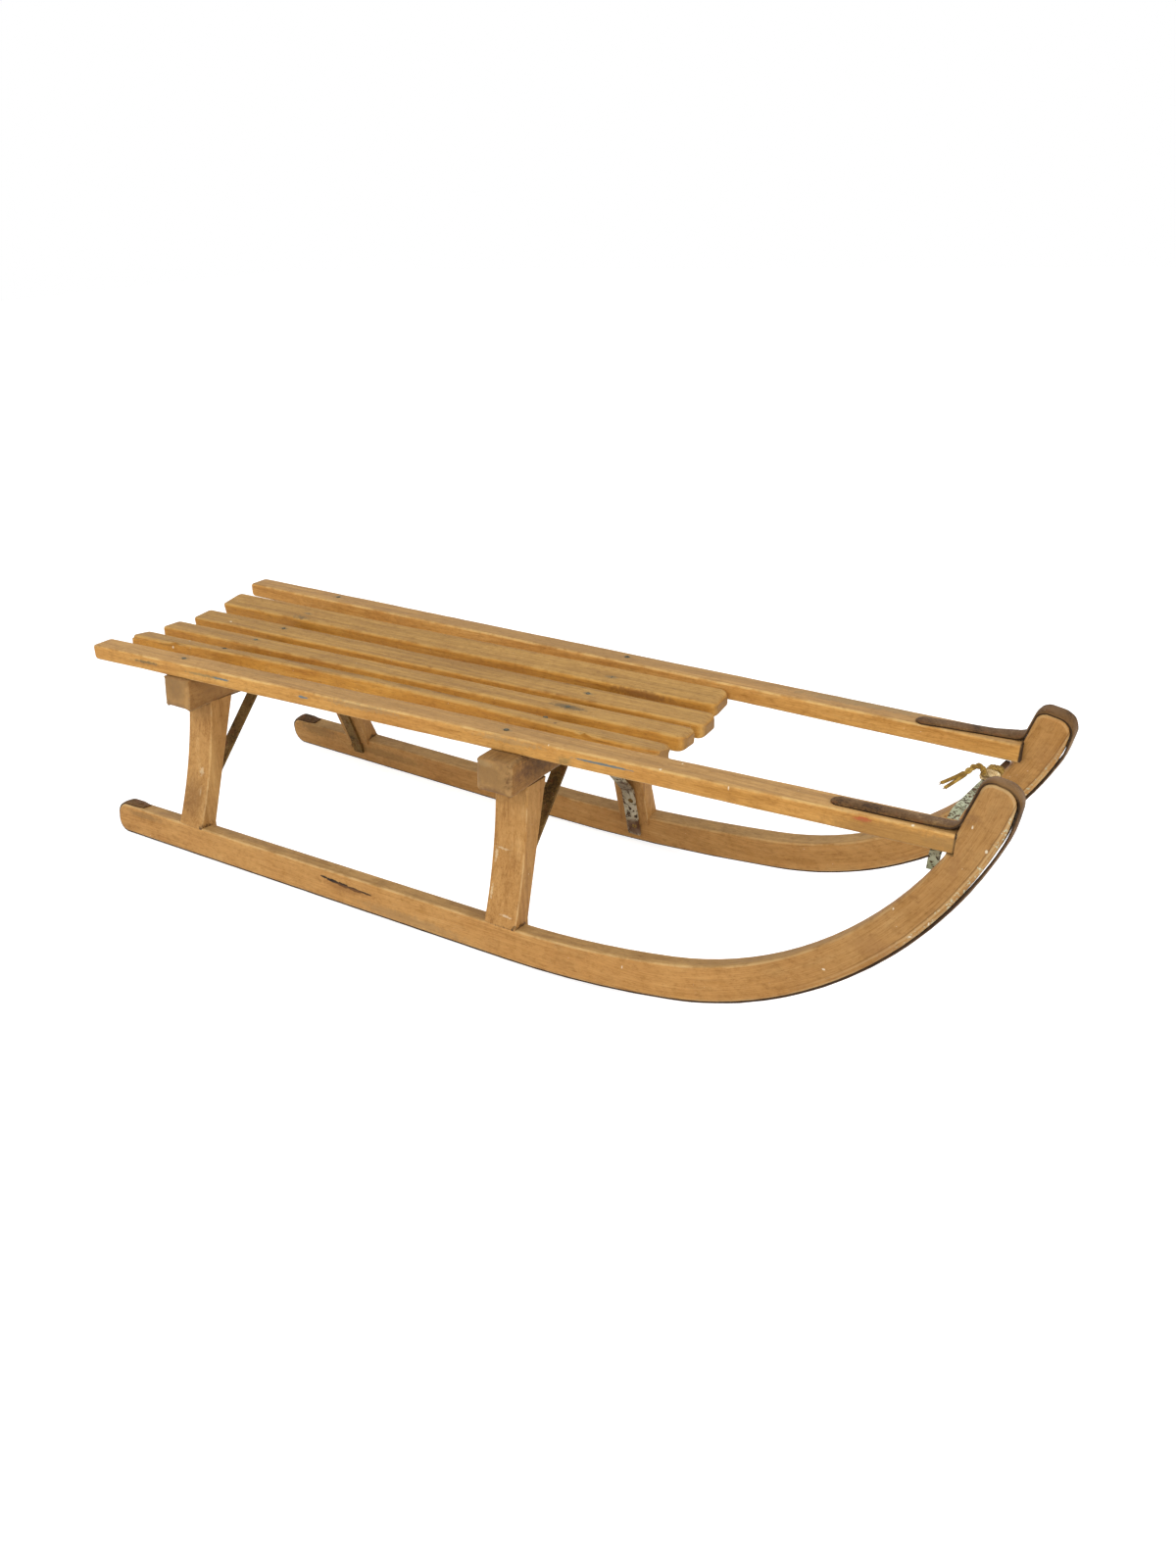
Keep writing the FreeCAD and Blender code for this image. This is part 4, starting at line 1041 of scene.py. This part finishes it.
# Nails and screws, set on their spots by geometry nodes
def headMesh(name, radius, dome, depth, sidesCount, slotWide=0):
    turns = [math.tau * step / sidesCount for step in range(sidesCount)]
    rings = [
        [(-math.sin(turn) * wide * radius, math.cos(turn) * wide * radius, height) for turn in turns]
        for wide, height in ((1, -depth), (1, dome * 0.35), (0.82, dome))
    ]
    shape = loft(bmesh.new(), rings)
    if slotWide:
        for offset in (-slotWide / 2, slotWide / 2):
            cutAcross(shape, (0, offset, 0), (0, 1, 0))
        for face in shape.faces:
            middle = face.calc_center_median()
            if abs(middle.y) < slotWide * 0.4 and middle.z > dome * 0.9:
                bmesh.ops.inset_region(shape, faces=[face], thickness=1e-5, depth=0)
                for vert in face.verts:
                    vert.co.z -= dome * 0.9
                break
    return meshOf(name, shape)


def headTree(name):
    tree = bpy.data.node_groups.new(name, "GeometryNodeTree")
    sockets = {"Geometry": "Geometry", "Head": "Object", "Head Size": "Float", "Lean": "Float",
               "Seed": "Int", "Finish": "Material"}
    for label, kind in sockets.items():
        tree.interface.new_socket(name=label, in_out="INPUT", socket_type="NodeSocket" + kind)
    tree.interface.new_socket(name="Geometry", in_out="OUTPUT", socket_type="NodeSocketGeometry")
    board = NodeBoard(tree)
    given = board.node("NodeGroupInput").outputs
    head = board.node("GeometryNodeObjectInfo", {"Object": given["Head"]}).outputs["Geometry"]
    facing, wide = [
        board.node("GeometryNodeInputNamedAttribute", {"Name": label}, data_type=kind).outputs["Attribute"]
        for label, kind in (("facing", "FLOAT_VECTOR"), ("wide", "FLOAT"))
    ]
    align = board.node("FunctionNodeAlignRotationToVector", {"Vector": facing}, axis="Z").outputs[0]
    back = board.times(given["Lean"], -1)
    feeds = {
        "Min": board.join(back, back, 0), "Max": board.join(given["Lean"], given["Lean"], math.tau),
        "Seed": given["Seed"],
    }
    chance = board.node("FunctionNodeRandomValue", feeds, data_type="FLOAT_VECTOR").outputs[0]
    spin = board.node("FunctionNodeEulerToRotation", {0: chance}).outputs[0]
    turn = board.node("FunctionNodeRotateRotation", {0: align, 1: spin}, rotation_space="LOCAL").outputs[0]
    place = board.node("GeometryNodeInstanceOnPoints", {
        "Points": given["Geometry"], "Instance": head, "Rotation": turn,
        "Scale": board.times(wide, given["Head Size"]),
    }).outputs[0]
    real = board.node("GeometryNodeRealizeInstances", {0: place}).outputs[0]
    cover = board.node("GeometryNodeSetMaterial", {"Geometry": real, "Material": given["Finish"]}).outputs[0]
    board.node("NodeGroupOutput", {0: cover})
    return tree


# spots are rows of place in millimetres, direction and width
def setHeads(name, spots, head, finish, size, tilt, seed):
    mesh = bpy.data.meshes.new(name + "_spots")
    mesh.from_pydata([Vector(spot[0]) * mm for spot in spots], [], [])
    mesh.attributes.new("facing", "FLOAT_VECTOR", "POINT")
    mesh.attributes.new("wide", "FLOAT", "POINT")
    for number, (_, facing, wide) in enumerate(spots):
        mesh.attributes["facing"].data[number].vector = facing
        mesh.attributes["wide"].data[number].value = wide
    carrier = bpy.data.objects.new(name + "_spots", mesh)
    pattern = bpy.data.objects.new(name + "_pattern", head)
    scene.collection.objects.link(carrier)
    scene.collection.objects.link(pattern)
    tree = headTree(name + "_tree")
    modifier = carrier.modifiers.new("heads", "NODES")
    modifier.node_group = tree
    wanted = {"Head": pattern, "Head Size": size, "Lean": tilt, "Seed": seed, "Finish": finish}
    for socket in tree.interface.items_tree:
        if socket.in_out == "INPUT" and socket.name in wanted:
            modifier[socket.identifier] = wanted[socket.name]
    carrier.update_tag()
    made = evaluated(carrier)
    bpy.data.objects.remove(carrier)
    bpy.data.objects.remove(pattern)
    for layer in ("facing", "wide"):
        if layer in made.attributes:
            made.attributes.remove(made.attributes[layer])
    made.name = name
    return addPiece(name, made, finish, 35)


fasteners = {
    "nail": {"radius": 0.0026, "dome": 0.0005, "depth": 0.001, "sidesCount": 14},
    "screw": {"radius": 0.0031, "dome": 0.0006, "depth": 0.0012, "sidesCount": 18, "slotWide": 0.0009},
    "foldScrews": (18, 31),  # from the runner's rear end
    "braceScrews": [
        ((62.2, 103, 61.1), (0, -0.93, -0.36), 1),
        ((62, 112.6, 27.1), (0, -0.99, 0.1), 1),
        ((-346, 112.9, 61.8), (0, -0.93, -0.36), 1),
        ((-346.5, 120.5, 27.5), (0, -0.99, 0.1), 1),
    ],
}
nailHead, screwHead = [headMesh(kind + "Head", **fasteners[kind]) for kind in ("nail", "screw")]
nailRows = [(spot, (0, 0, 1), 1) for spot in nailSpots["rails"]]
nailRows += [(spot, slatUp(spot[1]), 0.9) for spot in nailSpots["slats"]]
setHeads("seat_nails", nailRows, nailHead, finishes["nail"], 1.0, 0.08, 4)
screwUp = sled["runnerDeep"] + bandSizes["crown"] - 0.25
foldRows = [
    (sideSpot(side, sled["runnerRear"] + reach, screwUp), sideFrame(side).to_3x3() @ Vector((0, 0, 1)), 0.85)
    for side in sides for reach in fasteners["foldScrews"]
]
setHeads("band_screws", foldRows, screwHead, finishes["band"], 1.0, 0.05, 9)
setHeads("brace_screws", fasteners["braceScrews"], screwHead, finishes["brace"], 0.95, 0.06, 12)
print("nails and screws made")


# Twine: a winding on the pull bar and a short frayed tail
twineSizes = {"aside": -0.8, "barWide": 9, "barThick": 3, "gap": 0.15, "perTurn": 12, "step": 0.0007}
twineLooks = {
    "tanTwine": {"deep": (150, 118, 72), "middle": (206, 176, 124), "pale": (228, 206, 160)},
    "yellowTwine": {"deep": (84, 62, 20), "middle": (148, 112, 42), "pale": (194, 158, 76)},
}


def twineFinish(name, look):
    made = Recipe(name)
    place = made.node("ShaderNodeTexCoord").outputs["Object"]
    fibre = made.noise(place, 1500, 3, 0.6, 1.2)
    cloud = made.noise(place, 190, 3, 0.6)
    made.base(look, (fibre, 0.34, 0.56), (cloud, 0.45, 0.7))
    rough = made.ramp(fibre, 0.3, 0.7, 0.75, 0.95)
    return made.finish(rough, fibre, 0.0003, {"Specular IOR Level": 0.2, "Sheen Weight": 0.15})


for name, look in twineLooks.items():
    finishes[name] = twineFinish(name, look)


def splineRow(name, points):
    data = bpy.data.curves.new(name, "CURVE")
    data.dimensions = "3D"
    data.resolution_u = 10
    spline = data.splines.new("NURBS")
    spline.points.add(len(points) - 1)
    for spot, point in zip(spline.points, points):
        spot.co = (*point, 1)
    spline.order_u = 3
    spline.use_endpoint_u = True
    carrier = bpy.data.objects.new(name, data)
    scene.collection.objects.link(carrier)
    mesh = evaluated(carrier)
    row = [vert.co.copy() for vert in mesh.vertices]
    bpy.data.objects.remove(carrier)
    bpy.data.meshes.remove(mesh)
    return row


def evenRow(row):
    spans = [(b - a).length for a, b in zip(row, row[1:])]
    total = sum(spans)
    count = max(2, round(total / twineSizes["step"]))
    made, number, gone = [row[0].copy()], 0, 0
    for index in range(1, count):
        wanted = total * index / count
        while gone + spans[number] < wanted:
            gone += spans[number]
            number += 1
        made.append(row[number].lerp(row[number + 1], (wanted - gone) / spans[number]))
    return made + [row[-1].copy()]


def framesAlong(row):
    frames, side = [], None
    for number, point in enumerate(row):
        ahead = (row[min(number + 1, len(row) - 1)] - row[max(number - 1, 0)]).normalized()
        if side is None:
            side = ahead.orthogonal().normalized()
        side = (side - ahead * side.dot(ahead)).normalized()
        frames.append((point, side.copy(), ahead.cross(side)))
    return frames


def tube(shape, row, radii, sidesCount=7):
    rings = []
    for (point, side, up), radius in zip(framesAlong(row), radii):
        turns = [math.tau * step / sidesCount for step in range(sidesCount)]
        rings.append([point + (side * math.cos(turn) + up * math.sin(turn)) * radius for turn in turns])
    loft(shape, rings)


# Plies laid round a line, opened towards its end; gives each ply's end, direction and radius
def pliedTwine(shape, row, thick, plies, pitch, opened=lambda share: 1, start=0, bound=1):
    frames = framesAlong(row)
    gone = [0]
    for a, b in zip(row, row[1:]):
        gone.append(gone[-1] + (b - a).length)
    strand = thick / 2 * (0.62 if plies == 2 else 0.54)
    ends = []
    for ply in range(plies):
        line, radii = [], []
        for (point, side, up), length in zip(frames, gone):
            angle = start + math.tau * (min(length, bound * gone[-1]) / pitch + ply / plies)
            reach = (thick / 2 - strand) * opened(length / gone[-1])
            line.append(point + (side * math.cos(angle) + up * math.sin(angle)) * reach)
            radii.append(strand * (1 + 0.06 * math.sin(length * 4100)))
        tube(shape, line, radii)
        ends.append((line[-1], (line[-1] - line[-4]).normalized(), strand))
    return ends


def barSpot(across, along, up):
    offset = Matrix.Rotation(math.radians(barLine["skew"]), 3, "Z") @ Vector((across, along, up))
    return (Vector(barLine["spot"]) + Vector((twineSizes["aside"], 0, 0)) + offset) * mm


def windingLine(first, last, turns, thick, phase):
    half = twineSizes["barWide"] / 2 + twineSizes["gap"] + thick / 2
    high = twineSizes["barThick"] / 2 + twineSizes["gap"] + thick / 2
    points = []
    for number in range(int(turns * twineSizes["perTurn"]) + 1):
        angle = math.tau * number / twineSizes["perTurn"] + phase
        along = first + (last - first) * number / (turns * twineSizes["perTurn"])
        swell = 1 + 0.05 * noise.noise(Vector((number * 0.7, first, 2)))
        swell /= max(abs(math.cos(angle)), abs(math.sin(angle))) ** 0.55
        points.append(barSpot(half * math.cos(angle) * swell, along, high * math.sin(angle) * swell))
    return points


windings = {  # from and to along the bar, turns, thickness, plies, pitch, finish, phase
    "thick": (28.2, 38.3, 2.9, 3, 3, 0.007, "tanTwine", 0.4),
    "thin": (40.2, 50.2, 4.6, 2.2, 2, 0.0055, "yellowTwine", 1.9),
}
for label, (first, last, turns, thick, plies, pitch, cover, phase) in windings.items():
    row = evenRow(splineRow("windingLine", windingLine(first, last, turns, thick, phase)))
    shape = bmesh.new()
    pliedTwine(shape, row, thick * mm, plies, pitch)
    name = "rope_winding_" + label
    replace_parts(addPiece(name, meshOf(name, shape), finishes[cover], 70), "rope_winding")

# The tail's route from the winding's end to the frayed ends, in metres
tailRoute = [
    (0.4259, 0.0267, 0.2125), (0.4257, 0.0216, 0.2136), (0.4264, 0.0198, 0.2168),
    (0.4249, 0.0200, 0.2206), (0.4192, 0.0203, 0.2204), (0.4136, 0.0206, 0.2130),
    (0.4072, 0.0208, 0.2062), (0.3970, 0.0208, 0.1972),
]
tailSizes = {"diameter": 0.0034, "drawn": 0.0052, "pitch": 0.0105, "opened": 1.42, "openFrom": 0.55, "bound": 0.6}


def tailOpening(share):
    far = max(0, (share - tailSizes["openFrom"]) / (1 - tailSizes["openFrom"]))
    return 1 + tailSizes["opened"] * far ** 1.4


tailRow = evenRow(splineRow("tailLine", tailRoute))
tailLength = sum((b - a).length for a, b in zip(tailRow, tailRow[1:]))
_, lastSide, lastUp = framesAlong(tailRow)[-1]
downwards = Vector((0.25, 0, -1))
tailTurn = math.atan2(downwards.dot(lastUp), downwards.dot(lastSide))
tailTurn -= math.tau * tailSizes["bound"] * tailLength / tailSizes["pitch"]
shape = bmesh.new()
tailEnds = pliedTwine(
    shape, tailRow, tailSizes["drawn"], 2, tailSizes["pitch"], tailOpening, tailTurn, tailSizes["bound"])
tail = addPiece("rope_tail_twine", meshOf("rope_tail_twine", shape), finishes["yellowTwine"], 70)
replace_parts(tail, "rope_tail")

# Loose fibres at the tail's ends and on the winding
fibreSizes = {
    "long": 0.0046, "thick": 0.00022, "perEnd": 16, "onWinding": 26, "spread": 0.75, "endSpread": 0.45,
    "shape": ((0, 1, 0), (0.5, 0.8, 0.09), (1, 0.3, 0.3)),  # height, width and drift of each ring
}
chance = random.Random(21)


def fibreMesh(name):
    long, thick = fibreSizes["long"], fibreSizes["thick"]
    turns = [math.tau * step / 3 for step in range(3)]
    rings = [
        [(math.cos(turn) * thick * width + drift * long, math.sin(turn) * thick * width, height * long)
         for turn in turns]
        for height, width, drift in fibreSizes["shape"]
    ]
    return meshOf(name, loft(bmesh.new(), rings))


def loose(amount):
    return Vector([chance.uniform(-amount, amount) for _ in range(3)])


fibreRows = []
for spot, ahead, strand in tailEnds:
    for _ in range(fibreSizes["perEnd"]):
        facing = (ahead + loose(fibreSizes["endSpread"])).normalized()
        root = spot - ahead * 0.0008 + loose(strand * 0.7)
        fibreRows.append((root / mm, facing, chance.uniform(0.5, 1.1)))
for _ in range(fibreSizes["onWinding"]):
    angle, along = chance.uniform(0, math.tau), chance.uniform(32, 50)
    root = barSpot(6.2 * math.cos(angle), along, 3.6 * math.sin(angle))
    facing = (Vector((math.cos(angle), 0, math.sin(angle))) + loose(fibreSizes["spread"])).normalized()
    fibreRows.append((root / mm, facing, chance.uniform(0.3, 0.7)))
setHeads("twine_fibres", fibreRows, fibreMesh("fibre"), finishes["yellowTwine"], 1.0, 0.35, 6)
print("twine made, tail length", round(tailLength, 4))
